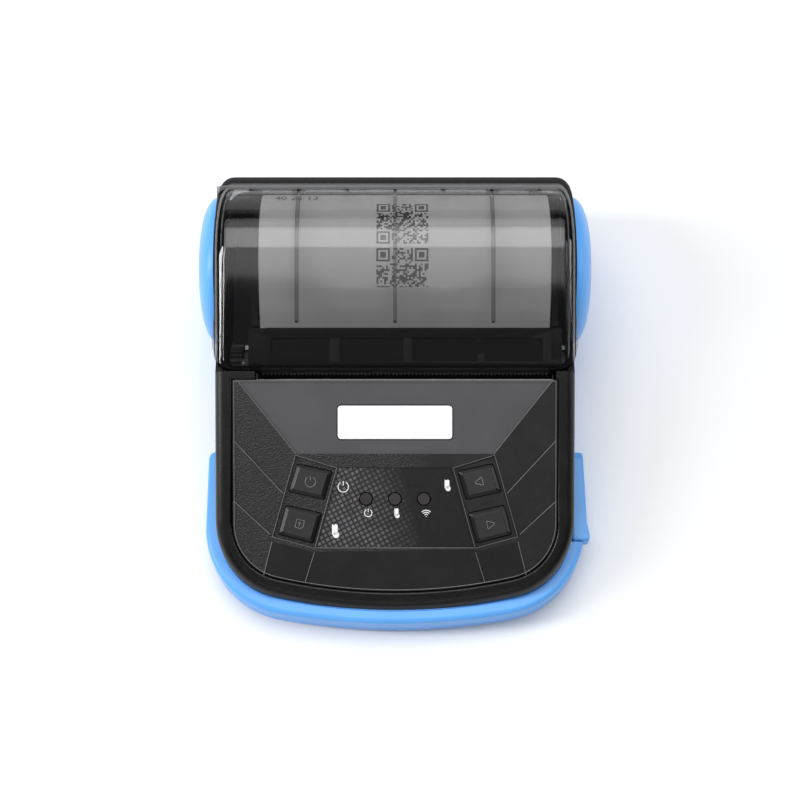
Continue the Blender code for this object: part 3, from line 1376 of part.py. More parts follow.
def gear(name, teeth, first, centre, bore, joint):
    """Make one gear of the train on the left."""
    turned_outline = gear_outline(teeth, first)
    frame = Matrix.Translation((0, *centre)) @ ACROSS
    holes = [circle((0, 0), bore, SMALL_STEPS)] if bore else ()
    look = "gear_plastic"
    return plate(name, turned_outline, GEAR_LEFT, GEAR_RIGHT, look, frame, joint, holes)


def train_places():
    """Return the centres of the idler and the pinion, and the bearings between the gears."""
    platen = Vector((PLATEN_Y, PLATEN_Z))
    swing = platen - Vector((HINGE_Y, HINGE_Z))
    away = Vector((-swing.y, swing.x)).normalized()
    idler = platen + away * IDLER_REACH
    first = math.atan2(away.y, away.x)
    pinion = idler + PINION_REACH * Vector((math.cos(MOTOR_BEARING), math.sin(MOTOR_BEARING)))
    return idler, pinion, first


def add_gears(platen_joint, idler_joint, pinion_joint):
    """Make the gear train from the motor's pinion over the idler to the platen."""
    idler, pinion, first = train_places()
    gear("platen_gear", PLATEN_TEETH, first, (PLATEN_Y, PLATEN_Z), BUSH_BORE, platen_joint)
    idler_first = first + math.pi + math.pi / IDLER_TEETH
    gear("idler_gear", IDLER_TEETH, idler_first, tuple(idler), PIN_RADIUS + GAP, idler_joint)
    lead = (idler_first - MOTOR_BEARING) % (2 * math.pi / IDLER_TEETH)
    space = MOTOR_BEARING + math.pi - lead * IDLER_TEETH / PINION_TEETH
    pinion_first = space + math.pi / PINION_TEETH
    wheel = gear("motor_pinion", PINION_TEETH, pinion_first, tuple(pinion), 0, pinion_joint)
    shaft_end = PLATE_LEFT + MOTOR_LENGTH / 4
    frame = roller_frame(*pinion)
    fuse(wheel, drum("spindle", PIN_RADIUS, GEAR_LEFT + GAP, shaft_end, None, frame, steps=SMALL_STEPS))
    pin_left = GEAR_LEFT - GAP
    drum("idler_pin", PIN_RADIUS, pin_left, PLATE_LEFT, "steel", roller_frame(*idler), steps=SMALL_STEPS)
    motor_left = PLATE_LEFT + GAP
    motor_right = motor_left + MOTOR_LENGTH
    motor = drum("stepper_motor", MOTOR_RADIUS, motor_left, motor_right, "sheet_metal", frame)
    bevel(motor, GAP, 1)
    wide = PIN_RADIUS + GAP
    low = motor_left - OVERRUN
    cut(motor, drum("motor_bore", wide, low, shaft_end + GAP, None, frame, steps=SMALL_STEPS))


def add_mech_frame():
    """Make the sheet metal frame: two notched side plates, a floor and a wall behind the head."""
    idler, pinion = train_places()[:2]
    top = PLATEN_Z + NOTCH_RISE
    front = PLATEN_Y - PLATE_FRONT
    rear = PLATEN_Y + PLATE_REAR
    shoulder = PLATEN_Y - BUSH_RADIUS - GAP - FRAME_PLATE
    outline = [
        (front, PLATE_FOOT), (rear, PLATE_FOOT), (rear, PLATEN_Z - BUSH_RADIUS),
        (PLATEN_Y + BUSH_RADIUS + GAP + FRAME_PLATE, top), (shoulder, top),
        (front, pinion.y + MOTOR_RADIUS / 2),
    ]
    left = PLATE_LEFT - SIDE_PLATE
    right = PLATE_RIGHT + SIDE_PLATE
    frame = side_plate("mech_frame", outline, left, right, "sheet_metal")
    inner_top = top + OVERRUN
    wall_rear = PLATEN_Y - CHUTE_FRONT + CHUTE_PLATE
    step = PLATE_FOOT + CHUTE_PLATE
    hollow = [
        (rear + OVERRUN, step), (rear + OVERRUN, inner_top), (wall_rear, inner_top), (wall_rear, step),
    ]
    cut(frame, side_plate("mech_rear_room", hollow, PLATE_LEFT, PLATE_RIGHT))
    forward = [
        (wall_rear - CHUTE_PLATE, PLATE_FOOT - OVERRUN), (wall_rear - CHUTE_PLATE, inner_top),
        (front - OVERRUN, inner_top), (front - OVERRUN, PLATE_FOOT - OVERRUN),
    ]
    cut(frame, side_plate("mech_front_room", forward, PLATE_LEFT, PLATE_RIGHT))
    motor_room = box(
        "motor_room",
        (PLATE_LEFT, front - OVERRUN, step),
        (PLATE_LEFT + GAP + MOTOR_LENGTH + MOTOR_RADIUS / 2, wall_rear + OVERRUN, inner_top),
    )
    cut(frame, motor_room)
    notch_radius = BUSH_RADIUS + GAP
    notch = arc((PLATEN_Y, PLATEN_Z), notch_radius, -math.pi, 0, ROUND_STEPS // 2)
    notch += [(PLATEN_Y + notch_radius, inner_top), (PLATEN_Y - notch_radius, inner_top)]
    cut(frame, side_plate("bush_notch", notch, left - OVERRUN, right + OVERRUN))
    for name, spot in (("idler", idler), ("pinion", pinion)):
        bore_frame = roller_frame(*spot)
        far = PLATE_LEFT + OVERRUN
        reach = PIN_RADIUS + GAP
        bore = drum(f"{name}_bore", reach, left - OVERRUN, far, None, bore_frame, steps=SMALL_STEPS)
        cut(frame, bore)


def add_head():
    """Make the print head on its heat sink, and the springs that press it to the platen."""
    face = PLATEN_Y - PLATEN_RADIUS - 2 * GAP - PAPER
    low = PLATEN_Z - HEAD_BELOW
    left = ROLL_SHIFT - HEAD_WIDTH / 2
    right = ROLL_SHIFT + HEAD_WIDTH / 2
    box("print_head", (left, face - HEAD_THICKNESS, low), (right, face, low + HEAD_HEIGHT), "ceramic")
    sink_front = face - HEAD_THICKNESS - GAP
    sink_low = (left, sink_front - SINK_THICKNESS, low)
    sink = box("heat_sink", sink_low, (right, sink_front, low + HEAD_HEIGHT), "aluminium")
    bevel(sink, GAP, 1)
    wall = PLATEN_Y - CHUTE_FRONT + CHUTE_PLATE
    length = sink_front - SINK_THICKNESS - wall - 2 * GAP
    for name, share in zip(("head_spring_left", "head_spring_right"), SPRING_SHARES):
        x = ROLL_SHIFT + share * ROLL_WIDTH
        coil(name, Vector((x, wall + GAP, low + HEAD_HEIGHT / 2)), length)


def coil(name, start, length):
    """Make a small compression spring along Y, one unbroken round wire."""
    turns = int(length // (SPRING_WIRE * 2 + GAP * 2))
    steps = turns * SPRING_STEPS
    run = length - 2 * SPRING_WIRE
    points = []
    for step in range(steps + 1):
        turn = 2 * math.pi * step / SPRING_STEPS
        points.append((
            start.x + SPRING_RADIUS * math.cos(turn), start.y + SPRING_WIRE + run * step / steps,
            start.z + SPRING_RADIUS * math.sin(turn),
        ))
    curve = bpy.data.curves.new(name, "CURVE")
    curve.dimensions = "3D"
    curve.bevel_depth = SPRING_WIRE
    curve.bevel_resolution = 1
    curve.use_fill_caps = True
    spline = curve.splines.new("POLY")
    spline.points.add(len(points) - 1)
    for point, co in zip(spline.points, points):
        point.co = (*co, 1)
    spring = bpy.data.objects.new(name, curve)
    curve.materials.append(finish("steel"))
    PRINTER.objects.link(spring)
    pitch = run / turns
    print(f"{name}: least gap between turns {(pitch - 2 * SPRING_WIRE) * 1000:.2f} mm")


def add_electronics():
    """Make the main board with its sockets, and the paper sensor in front of the trough."""
    top = MAIN_BOARD_Z + BOARD_THICKNESS
    low = (MAIN_BOARD_LEFT, MAIN_BOARD_FRONT, MAIN_BOARD_Z)
    box("main_board", low, (MAIN_BOARD_RIGHT, MAIN_BOARD_REAR, top), "circuit_board")
    base = socket_base()
    outer = SHELL_SKIN - CASE_HALF
    usb = rectangle((USB_Y - USB_SIZE[0] / 2, base), (USB_Y + USB_SIZE[0] / 2, base + USB_SIZE[1]))
    usb_room = offset(usb, -SHELL_SKIN)
    socket = side_plate("usb_socket", usb, outer, outer + SOCKET_DEPTH, "sheet_metal")
    cut(socket, side_plate("usb_room", usb_room, outer - OVERRUN, outer + SOCKET_DEPTH - SHELL_SKIN))
    low = (outer, JACK_Y - JACK_SIZE[0] / 2, base)
    high = (outer + SOCKET_DEPTH, JACK_Y + JACK_SIZE[0] / 2, base + JACK_SIZE[1])
    jack = box("power_jack", low, high, "bush_plastic")
    spot = roller_frame(JACK_Y, base + JACK_SIZE[1] / 2)
    end = outer + SOCKET_DEPTH - SHELL_SKIN
    cut(jack, drum("jack_bore", JACK_BORE, outer - OVERRUN, end, None, spot, steps=SMALL_STEPS))
    size = Vector(SENSOR_SIZE)
    rear = ROLL_Y - BUCKET_RADIUS - BUCKET_WALL - GAP
    high = Vector((ROLL_SHIFT + size.x / 2, rear, BUCKET_Z - WALL))
    box("paper_sensor", high - size, high, "bush_plastic")


def build():
    """Build the whole printer."""
    clear_scene()
    cover_joint = axis("cover_axis", (0, HINGE_Y, HINGE_Z))
    platen_joint = axis("platen_axis", (0, PLATEN_Y, PLATEN_Z), cover_joint)
    idler, pinion = train_places()[:2]
    idler_joint = axis("idler_axis", (0, *idler))
    pinion_joint = axis("pinion_axis", (0, *pinion))
    roll_joint = axis("roll_axis", (0, ROLL_Y, ROLL_Z))
    lever_joint = axis("lever_axis", (0, LEVER_PIVOT_Y, LEVER_PIVOT_Z))
    door_joint = axis("door_axis", (0, BATTERY_LOW[1], FOOT_STAND))
    add_shell()
    add_case()
    add_panel()
    add_panel_sheets()
    add_keys(key_joints())
    add_key_board()
    add_cover(cover_joint)
    add_hinge_pins()
    add_bucket()
    add_roll(roll_joint)
    add_web()
    add_platen(cover_joint, platen_joint)
    add_gears(platen_joint, idler_joint, pinion_joint)
    add_mech_frame()
    add_head()
    add_electronics()
    add_battery(door_joint)
    add_lever(lever_joint)
    add_feet_and_screws()


build()
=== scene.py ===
"""Looks of a portable receipt printer with a drop-in paper roll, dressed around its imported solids.

Metres, +Z up. The key panel faces up and towards -Y, and +X is on its right.
"""

from __future__ import annotations

import json
import logging
import math
from dataclasses import dataclass, field
from enum import Enum
from typing import Callable, Iterable, Sequence

import bpy
from mathutils import Matrix, Vector

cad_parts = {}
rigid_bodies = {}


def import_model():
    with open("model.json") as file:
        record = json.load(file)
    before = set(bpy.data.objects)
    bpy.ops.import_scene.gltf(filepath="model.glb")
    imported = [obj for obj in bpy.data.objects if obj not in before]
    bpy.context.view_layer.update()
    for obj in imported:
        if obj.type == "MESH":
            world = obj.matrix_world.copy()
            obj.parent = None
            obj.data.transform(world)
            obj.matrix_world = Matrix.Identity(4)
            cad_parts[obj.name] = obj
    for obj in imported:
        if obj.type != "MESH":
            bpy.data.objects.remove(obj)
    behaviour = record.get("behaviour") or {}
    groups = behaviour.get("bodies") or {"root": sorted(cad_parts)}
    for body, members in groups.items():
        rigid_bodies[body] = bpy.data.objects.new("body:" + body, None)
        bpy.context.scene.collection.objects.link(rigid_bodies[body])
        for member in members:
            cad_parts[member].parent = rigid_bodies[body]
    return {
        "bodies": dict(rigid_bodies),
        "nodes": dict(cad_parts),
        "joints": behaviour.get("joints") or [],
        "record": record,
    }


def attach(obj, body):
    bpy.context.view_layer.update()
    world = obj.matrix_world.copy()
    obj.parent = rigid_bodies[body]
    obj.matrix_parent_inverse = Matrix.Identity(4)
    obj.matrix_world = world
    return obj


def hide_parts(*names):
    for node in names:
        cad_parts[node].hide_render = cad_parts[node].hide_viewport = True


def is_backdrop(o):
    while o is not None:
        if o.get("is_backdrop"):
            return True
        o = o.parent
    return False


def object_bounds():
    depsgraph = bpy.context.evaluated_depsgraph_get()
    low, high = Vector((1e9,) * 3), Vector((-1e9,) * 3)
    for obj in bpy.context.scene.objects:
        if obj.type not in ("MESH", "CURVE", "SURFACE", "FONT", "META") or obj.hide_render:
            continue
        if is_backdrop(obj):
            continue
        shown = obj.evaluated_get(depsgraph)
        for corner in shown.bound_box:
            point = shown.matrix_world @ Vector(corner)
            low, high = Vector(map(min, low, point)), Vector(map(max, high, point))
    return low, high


LOG = logging.getLogger("receipt_printer")
Piece = bpy.types.Object
Socket = bpy.types.NodeSocket
Material = bpy.types.Material
Point = tuple[float, float]
Colour = tuple[float, float, float]
Outline = list[Point]

GAP = 0.0003
OVER = 0.004
WELD = 0.000001
FLAT = Matrix.Identity(4)
ACROSS = Matrix.Rotation(math.pi / 2, 4, "Z") @ Matrix.Rotation(math.pi / 2, 4, "X")
TURNED = Matrix.Rotation(math.pi / 2, 4, "Y")
THROUGH = (-0.06, 0.06, ACROSS)
SOFT_ANGLE = math.radians(32)


@dataclass(frozen=True)
class Layout:
    """Sizes that more than one sub-assembly needs, in metres."""

    half_length: float = 0.0625
    stand: float = 0.0008
    wall: float = 0.0018
    floor: float = 0.0026
    parting: float = 0.012
    case_half: float = 0.0485
    case_front: float = -0.0593
    case_foot: float = 0.0123
    front_rise: float = 0.0014
    panel_rise: float = 0.0242
    rim: float = 0.0046
    cover_front: float = 0.0006
    cover_half: float = 0.049
    slot_run: float = 0.0022
    roll_y: float = 0.0375
    roll_z: float = 0.026
    roll_radius: float = 0.019
    roll_left: float = -0.03705
    roll_right: float = 0.04245
    dome: float = 0.024
    hinge_y: float = 0.06
    hinge_z: float = 0.024
    barrel: float = 0.0022
    pin: float = 0.001
    lug_centre: float = 0.034
    lug_width: float = 0.008
    case_lug: float = 0.0035
    side_fall: float = math.radians(9)
    lip: float = 0.0025
    bore: float = 0.0015
    bore_top: float = 0.0082

    @property
    def slope(self) -> float:
        """Return the panel's slope in radians."""
        return math.atan2(self.panel_rise, self.cover_front - self.case_front)

    @property
    def slot_front(self) -> float:
        """Return where the paper exit starts on Y."""
        return self.cover_front - GAP - self.slot_run

    @property
    def wall_top(self) -> float:
        """Return the height of the case's rear wall."""
        return self.hinge_z - self.barrel - 2 * GAP

    @property
    def lug_reach(self) -> float:
        """Return how far a hinge's lugs reach to each side of its middle."""
        return self.lug_width / 2 + GAP + self.case_lug

    @property
    def roll_middle(self) -> float:
        """Return the middle of the roll on X."""
        return (self.roll_left + self.roll_right) / 2

    @property
    def rib_pitch(self) -> float:
        """Return the distance between the cover's full ribs."""
        return (self.roll_right - self.roll_left) / 3

    @property
    def panel_half(self) -> float:
        """Return half the panel's width."""
        return self.case_half - self.rim

    @property
    def panel(self) -> Matrix:
        """Return the panel's own frame: X across, Y up the slope, Z off the panel."""
        front = self.case_front + self.rim * math.cos(self.slope)
        return Matrix.Translation((0, front, self.panel_z(front))) @ Matrix.Rotation(self.slope, 4, "X")

    @property
    def panel_length(self) -> float:
        """Return the panel's length up the slope."""
        return (self.slot_front - self.panel.to_translation().y) / math.cos(self.slope)

    def panel_z(self, y: float, depth: float = 0.0) -> float:
        """Return the height of the panel's plane at a place on Y.

        Args:
            y: Place on Y.
            depth: How far below the plane, square to it.

        Returns:
            The height.
        """
        rise = (y - self.case_front) * math.tan(self.slope)
        return self.case_foot + self.front_rise + rise - depth / math.cos(self.slope)

    def side_z(self, y: float) -> float:
        """Return the height of the line between the cover's side and the case, at a place on Y."""
        start = self.panel_z(self.cover_front) - self.lip
        return start - (y - self.cover_front) * math.tan(self.side_fall)

    def on_panel(self, shares: Iterable[Point], side: int = 1) -> Outline:
        """Return panel places from shares of its half width and length, mirrored for side -1."""
        return [(side * x * self.panel_half, y * self.panel_length) for x, y in shares]


LAY = Layout()


def arc(centre: Point, radius: float, start: float, end: float, steps: int) -> Outline:
    """Return the points of an arc, both ends included.

    Args:
        centre: Its centre.
        radius: Its radius.
        start: First angle in radians.
        end: Last angle in radians.
        steps: Number of pieces.

    Returns:
        The points.
    """
    turns = [start + (end - start) * step / steps for step in range(steps + 1)]
    return [(centre[0] + radius * math.cos(t), centre[1] + radius * math.sin(t)) for t in turns]


def ring(centre: Point, radius: float, steps: int = 48) -> Outline:
    """Return a round outline about a centre."""
    return arc(centre, radius, 0, 2 * math.pi * (steps - 1) / steps, steps - 1)


def offset(outline: Outline, distance: float) -> Outline:
    """Return an outline moved outwards by a distance, whichever way its points run."""
    area = sum(a[0] * b[1] - b[0] * a[1] for a, b in zip(outline, outline[1:] + outline[:1]))
    side = math.copysign(distance, area) if distance >= 0 else -math.copysign(distance, area)
    moved = []
    for before, here, after in zip(outline[-1:] + outline[:-1], outline, outline[1:] + outline[:1]):
        first = (Vector(here) - Vector(before)).normalized()
        second = (Vector(after) - Vector(here)).normalized()
        normal = Vector((first.y + second.y, -first.x - second.x)).normalized()
        reach = side / normal.dot(Vector((first.y, -first.x)))
        moved.append((here[0] + normal.x * reach, here[1] + normal.y * reach))
    return moved


def rounded(outline: Outline, radius: float, steps: int = 5) -> Outline:
    """Return a polygon with its corners rounded.

    Args:
        outline: The polygon's corners.
        radius: The corners' radius.
        steps: Pieces in each corner.

    Returns:
        The rounded outline.
    """
    points: Outline = []
    for before, here, after in zip(outline[-1:] + outline[:-1], outline, outline[1:] + outline[:1]):
        back = (Vector(before) - Vector(here)).normalized()
        on = (Vector(after) - Vector(here)).normalized()
        half = back.angle(on) / 2
        reach = radius / math.tan(half)
        centre = Vector(here) + (back + on).normalized() * (radius / math.sin(half))
        start = Vector(here) + back * reach - centre
        end = Vector(here) + on * reach - centre
        first = math.atan2(start.y, start.x)
        sweep = math.atan2(end.y, end.x) - first
        sweep = (sweep + math.pi) % (2 * math.pi) - math.pi
        points += arc(tuple(centre), radius, first, first + sweep, steps)
    return points


def span(side: int, *reaches: float) -> list[float]:
    """Return two places on one side of the middle, in rising order."""
    return sorted(side * reach for reach in reaches)


def mirrored(places: Iterable[Point]) -> Outline:
    """Return each place and its mirror image on the other side."""
    return [(side * x, y) for x, y in places for side in (-1, 1)]


def axle(y: float, z: float) -> Matrix:
    """Return a frame whose Z axis runs across the printer through a place."""
    return Matrix.Translation((0, y, z)) @ TURNED


def drum(bore: float, radius: float, low: float, high: float, edge: float) -> Outline:
    """Return the profile of a round piece between two heights, with its outer edges broken."""
    return [(bore, low), (radius - edge, low), (radius, low + edge),
            (radius, high - edge), (radius - edge, high), (bore, high)]


def box_outline(low: Point, high: Point) -> Outline:
    """Return a rectangle's outline between two corners."""
    return [(low[0], low[1]), (high[0], low[1]), (high[0], high[1]), (low[0], high[1])]


@dataclass(frozen=True)
class Plan:
    """An outline from above with a bowed front edge, wide front corners and straight sides."""

    half: float
    front: float
    rear: float
    corner: float
    bow: float
    rear_corner: float
    bow_steps: int = 20
    corner_steps: int = 20

    def outline(self, inset: float = 0.0) -> Outline:
        """Return the outline, or one inset from it."""
        half, front, rear = self.half - inset, self.front + inset, self.rear - inset
        corner, bow = self.corner - inset, self.bow - inset
        rear_corner = max(self.rear_corner - inset, abs(inset) / 2)
        centre_y = front + bow
        corner_x = half - corner
        corner_y = centre_y - math.sqrt((bow - corner) ** 2 - corner_x**2)
        lean = math.atan2(corner_x, centre_y - corner_y)
        right = arc((0.0, centre_y), bow, -math.pi / 2, -math.pi / 2 + lean, self.bow_steps)
        right += arc((corner_x, corner_y), corner, -math.pi / 2 + lean, 0, self.corner_steps)[1:]
        right += arc((half - rear_corner, rear - rear_corner), rear_corner, 0, math.pi / 2, 6)
        return right + [(-x, y) for x, y in reversed(right[1:])]

    def band(self, outer: float, inner: float, end: float) -> Outline:
        """Return the strip between two insets round the front, open towards the rear at a place on Y."""
        paths = []
        for inset in (outer, inner):
            points = self.outline(inset)
            left = [p for p in points if p[0] < 0 and p[1] < end]
            right = [p for p in points if p[0] >= 0 and p[1] < end]
            half = self.half - inset
            paths.append([(-half, end), *left, *right, (half, end)])
        return paths[0] + list(reversed(paths[1]))


CASE_PLAN = Plan(LAY.case_half, LAY.case_front, LAY.half_length, 0.02, 0.15, 0.006)
SILL_PLAN = Plan(0.0522, -LAY.half_length, -0.0135, 0.025, 0.18, 0.0022)
PANEL_PLAN = Plan(LAY.panel_half, 0.0, LAY.panel_length + GAP, 0.0154, 0.1454, GAP)


class Op(Enum):
    """What a tool does to the piece that it is applied to."""

    CUT = "DIFFERENCE"
    JOIN = "UNION"
    COMMON = "INTERSECT"


class Bench:
    """The hand tools: each one leaves a mesh whose object sits at the origin."""

    @staticmethod
    def pick(*pieces: Piece) -> None:
        """Select some pieces alone and make the first one active."""
        bpy.ops.object.select_all(action="DESELECT")
        for piece in pieces:
            piece.select_set(True)
        bpy.context.view_layer.objects.active = pieces[0]

    @staticmethod
    def settle(piece: Piece, frame: Matrix) -> Piece:
        """Put a piece in a frame and bring its object back to the origin."""
        piece.matrix_world = frame @ piece.matrix_world
        Bench.pick(piece)
        bpy.ops.object.transform_apply(location=True, rotation=True, scale=True)
        return piece

    @staticmethod
    def from_points(points: Sequence[Sequence[float]], faces: Sequence[Sequence[int]],
                    edges: Sequence[Sequence[int]] = ()) -> Piece:
        """Return a new piece from points with faces or edges between them."""
        mesh = bpy.data.meshes.new("mesh")
        mesh.from_pydata([tuple(p) for p in points], list(edges), list(faces))
        piece = bpy.data.objects.new("piece", mesh)
        bpy.context.scene.collection.objects.link(piece)
        return piece

    @staticmethod
    def prism(outline: Outline, low: float, high: float, frame: Matrix = FLAT,
              holes: Sequence[Outline] = ()) -> Piece:
        """Return a flat outline extruded between two heights of a frame's Z axis.

        Args:
            outline: Its outline in the frame's X and Y.
            low: Height of its lower face.
            high: Height of its upper face.
            frame: The frame that it is drawn in.
            holes: Outlines of the holes through it.

        Returns:
            The piece.
        """
        curve = bpy.data.curves.new("curve", "CURVE")
        curve.dimensions = "2D"
        curve.fill_mode = "BOTH"
        curve.extrude = (high - low) / 2
        for loop in (outline, *holes):
            spline = curve.splines.new("POLY")
            spline.points.add(len(loop) - 1)
            for point, (x, y) in zip(spline.points, loop):
                point.co = (x, y, 0, 1)
            spline.use_cyclic_u = True
        piece = bpy.data.objects.new("piece", curve)
        bpy.context.scene.collection.objects.link(piece)
        Bench.pick(piece)
        bpy.ops.object.convert(target="MESH")
        piece = bpy.context.view_layer.objects.active
        Bench.edit(piece)
        bpy.ops.mesh.remove_doubles(threshold=WELD)
        if not holes:
            bpy.ops.mesh.dissolve_limited(angle_limit=math.radians(0.5))
        bpy.ops.mesh.normals_make_consistent(inside=False)
        Bench.done()
        return Bench.settle(piece, frame @ Matrix.Translation((0, 0, (low + high) / 2)))

    @staticmethod
    def edit(piece: Piece) -> None:
        """Start editing a piece with everything in it selected."""
        Bench.pick(piece)
        bpy.ops.object.mode_set(mode="EDIT")
        bpy.ops.mesh.select_all(action="SELECT")

    @staticmethod
    def done() -> None:
        """Stop editing."""
        bpy.ops.object.mode_set(mode="OBJECT")

    @staticmethod
    def block(low: Sequence[float], high: Sequence[float], frame: Matrix = FLAT) -> Piece:
        """Return a block between two corners, to be shaped further or used as a tool."""
        low, high = Vector(low), Vector(high)
        bpy.ops.object.select_all(action="DESELECT")
        bpy.ops.mesh.primitive_cube_add(size=1.0)
        piece = bpy.context.object
        piece.matrix_world = Matrix.Translation((low + high) / 2) @ Matrix.Diagonal((*(high - low), 1))
        return Bench.settle(piece, frame)

    @staticmethod
    def rod(radius: float, start: float, end: float, frame: Matrix = FLAT,
            steps: int = 48) -> Piece:
        """Return a round bar along a frame's Z axis, to be shaped further or used as a tool."""
        bpy.ops.object.select_all(action="DESELECT")
        bpy.ops.mesh.primitive_cylinder_add(
            vertices=steps, radius=radius, depth=end - start, location=(0, 0, (start + end) / 2)
        )
        piece = bpy.context.object
        return Bench.settle(piece, frame)

    @staticmethod
    def lathe(profile: Outline, frame: Matrix = FLAT, steps: int = 96,
              closed: bool = False) -> Piece:
        """Return a profile of radius and height spun round a frame's Z axis.

        Args:
            profile: Points of radius and height.
            frame: The frame that it is drawn in.
            steps: Pieces round the axis.
            closed: Whether the last point joins the first.

        Returns:
            The piece.
        """
        count = len(profile)
        edges = [(i, i + 1) for i in range(count - 1)] + ([(count - 1, 0)] if closed else [])
        piece = Bench.from_points([(r, 0, h) for r, h in profile], (), edges)
        Bench.edit(piece)
        bpy.ops.mesh.spin(steps=steps, angle=2 * math.pi, center=(0, 0, 0), axis=(0, 0, 1))
        bpy.ops.mesh.select_all(action="SELECT")
        bpy.ops.mesh.remove_doubles(threshold=WELD)
        bpy.ops.mesh.normals_make_consistent(inside=False)
        Bench.done()
        return Bench.settle(piece, frame)

    @staticmethod
    def tube(points: Sequence[Sequence[float]], radius: float, frame: Matrix = FLAT,
             closed: bool = False) -> Piece:
        """Return a round bead along a line of points."""
        curve = bpy.data.curves.new("curve", "CURVE")
        curve.dimensions = "3D"
        curve.bevel_depth = radius
        curve.bevel_resolution = 2
        curve.use_fill_caps = True
        spline = curve.splines.new("POLY")
        spline.points.add(len(points) - 1)
        for point, place in zip(spline.points, points):
            point.co = (*place, 1)
        spline.use_cyclic_u = closed
        piece = bpy.data.objects.new("piece", curve)
        bpy.context.scene.collection.objects.link(piece)
        Bench.pick(piece)
        bpy.ops.object.convert(target="MESH")
        return Bench.settle(bpy.context.view_layer.objects.active, frame)

    @staticmethod
    def apply(piece: Piece, kind: str, **settings: object) -> Piece:
        """Add one modifier with its settings and apply it."""
        Bench.pick(piece)
        modifier = piece.modifiers.new(kind.lower(), kind)
        for key, value in settings.items():
            setattr(modifier, key, value)
        bpy.ops.object.modifier_apply(modifier=modifier.name)
        return piece

    @staticmethod
    def combine(piece: Piece, operation: Op, *tools: Piece) -> Piece:
        """Cut, join or keep what is common, tool by tool, and throw the tools away."""
        for tool in tools:
            Bench.apply(piece, "BOOLEAN", operation=operation.value, object=tool, solver="MANIFOLD")
            bpy.data.objects.remove(tool, do_unlink=True)
        return piece

    @staticmethod
    def cut(piece: Piece, *tools: Piece) -> Piece:
        """Cut tools out of a piece."""
        return Bench.combine(piece, Op.CUT, *tools)

    @staticmethod
    def fuse(piece: Piece, *tools: Piece) -> Piece:
        """Join tools onto a piece."""
        return Bench.combine(piece, Op.JOIN, *tools)

    @staticmethod
    def soften(piece: Piece, width: float, segments: int = 3, angle: float = 40.0) -> Piece:
        """Round every edge of a piece that is sharper than an angle in degrees."""
        return Bench.apply(
            piece, "BEVEL", width=width, segments=segments, limit_method="ANGLE",
            angle_limit=math.radians(angle),
        )

    @staticmethod
    def round_edges(piece: Piece, width: float, segments: int,
                    wanted: Callable[[Vector, Vector], bool]) -> Piece:
        """Round the edges whose two ends pass a test."""
        mesh = piece.data
        weight = "bevel_weight_edge"
        layer = mesh.attributes.get(weight) or mesh.attributes.new(weight, "FLOAT", "EDGE")
        for edge in mesh.edges:
            ends = [mesh.vertices[v].co for v in edge.vertices]
            layer.data[edge.index].value = 1.0 if wanted(*ends) else 0.0
        Bench.apply(
            piece, "BEVEL", width=width, segments=segments, limit_method="WEIGHT", use_clamp_overlap=False
        )
        mesh = piece.data
        layer = mesh.attributes.get(weight)
        if layer:
            mesh.attributes.remove(layer)
        return piece

    @staticmethod
    def join(pieces: Sequence[Piece]) -> Piece:
        """Put several meshes into one object without cutting them."""
        Bench.pick(*pieces)
        bpy.ops.object.join()
        return bpy.context.view_layer.objects.active

    @staticmethod
    def paint(piece: Piece, *finishes: Look) -> Piece:
        """Give a piece its finishes, the first one on every face."""
        piece.data.materials.clear()
        for finish in finishes:
            piece.data.materials.append(look(finish))
        for polygon in piece.data.polygons:
            polygon.material_index = 0
        return piece

    @staticmethod
    def patch(piece: Piece, index: int, wanted: Callable[[Vector, Vector], bool]) -> Piece:
        """Give another of a piece's materials to the faces whose centre and normal pass a test."""
        for polygon in piece.data.polygons:
            if wanted(polygon.center, polygon.normal):
                polygon.material_index = index
        return piece

    @staticmethod
    def smooth(piece: Piece, angle: float) -> Piece:
        """Shade a piece smooth below an angle, with flat faces kept flat."""
        Bench.pick(piece)
        bpy.ops.object.shade_smooth_by_angle(angle=angle)
        return Bench.apply(piece, "WEIGHTED_NORMAL", keep_sharp=True, weight=50)

    @staticmethod
    def dress(piece: Piece, finish: Look, *labels: str, body: str = "printer_body") -> Piece:
        """Paint a piece in one finish and finish it."""
        return Bench.finish(Bench.paint(piece, finish), *labels, body=body)

    @staticmethod
    def finish(piece: Piece, name: str, slot: str, *replaced: str, body: str = "printer_body",
               angle: float = SOFT_ANGLE) -> Piece:
        """Name a piece, shade it, let it ride on its body and hide the solids that it stands for.

        Args:
            piece: The finished mesh.
            name: The piece's name.
            slot: The record's material slot; not used.
            replaced: The solids that it stands for.
            body: The body that it moves with.
            angle: Edges below this angle are shaded smooth.

        Returns:
            The piece.
        """
        piece.name = name
        piece.data.name = name
        Bench.smooth(piece, angle)
        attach(piece, body)
        if replaced:
            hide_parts(*replaced)
        LOG.info("%s: %d faces on %s", name, len(piece.data.polygons), body)
        return piece


def _operator(operation: str, swapped: bool = False) -> Callable[..., Value]:
    """Return a method of Value that adds one Math node, with the terms in turn or swapped."""

    def method(self: Value, *others: Value | float) -> Value:
        """Add the node to this value's net."""
        terms = (*others, self) if swapped else (self, *others)
        return self.calculate(operation, *terms)

    return method


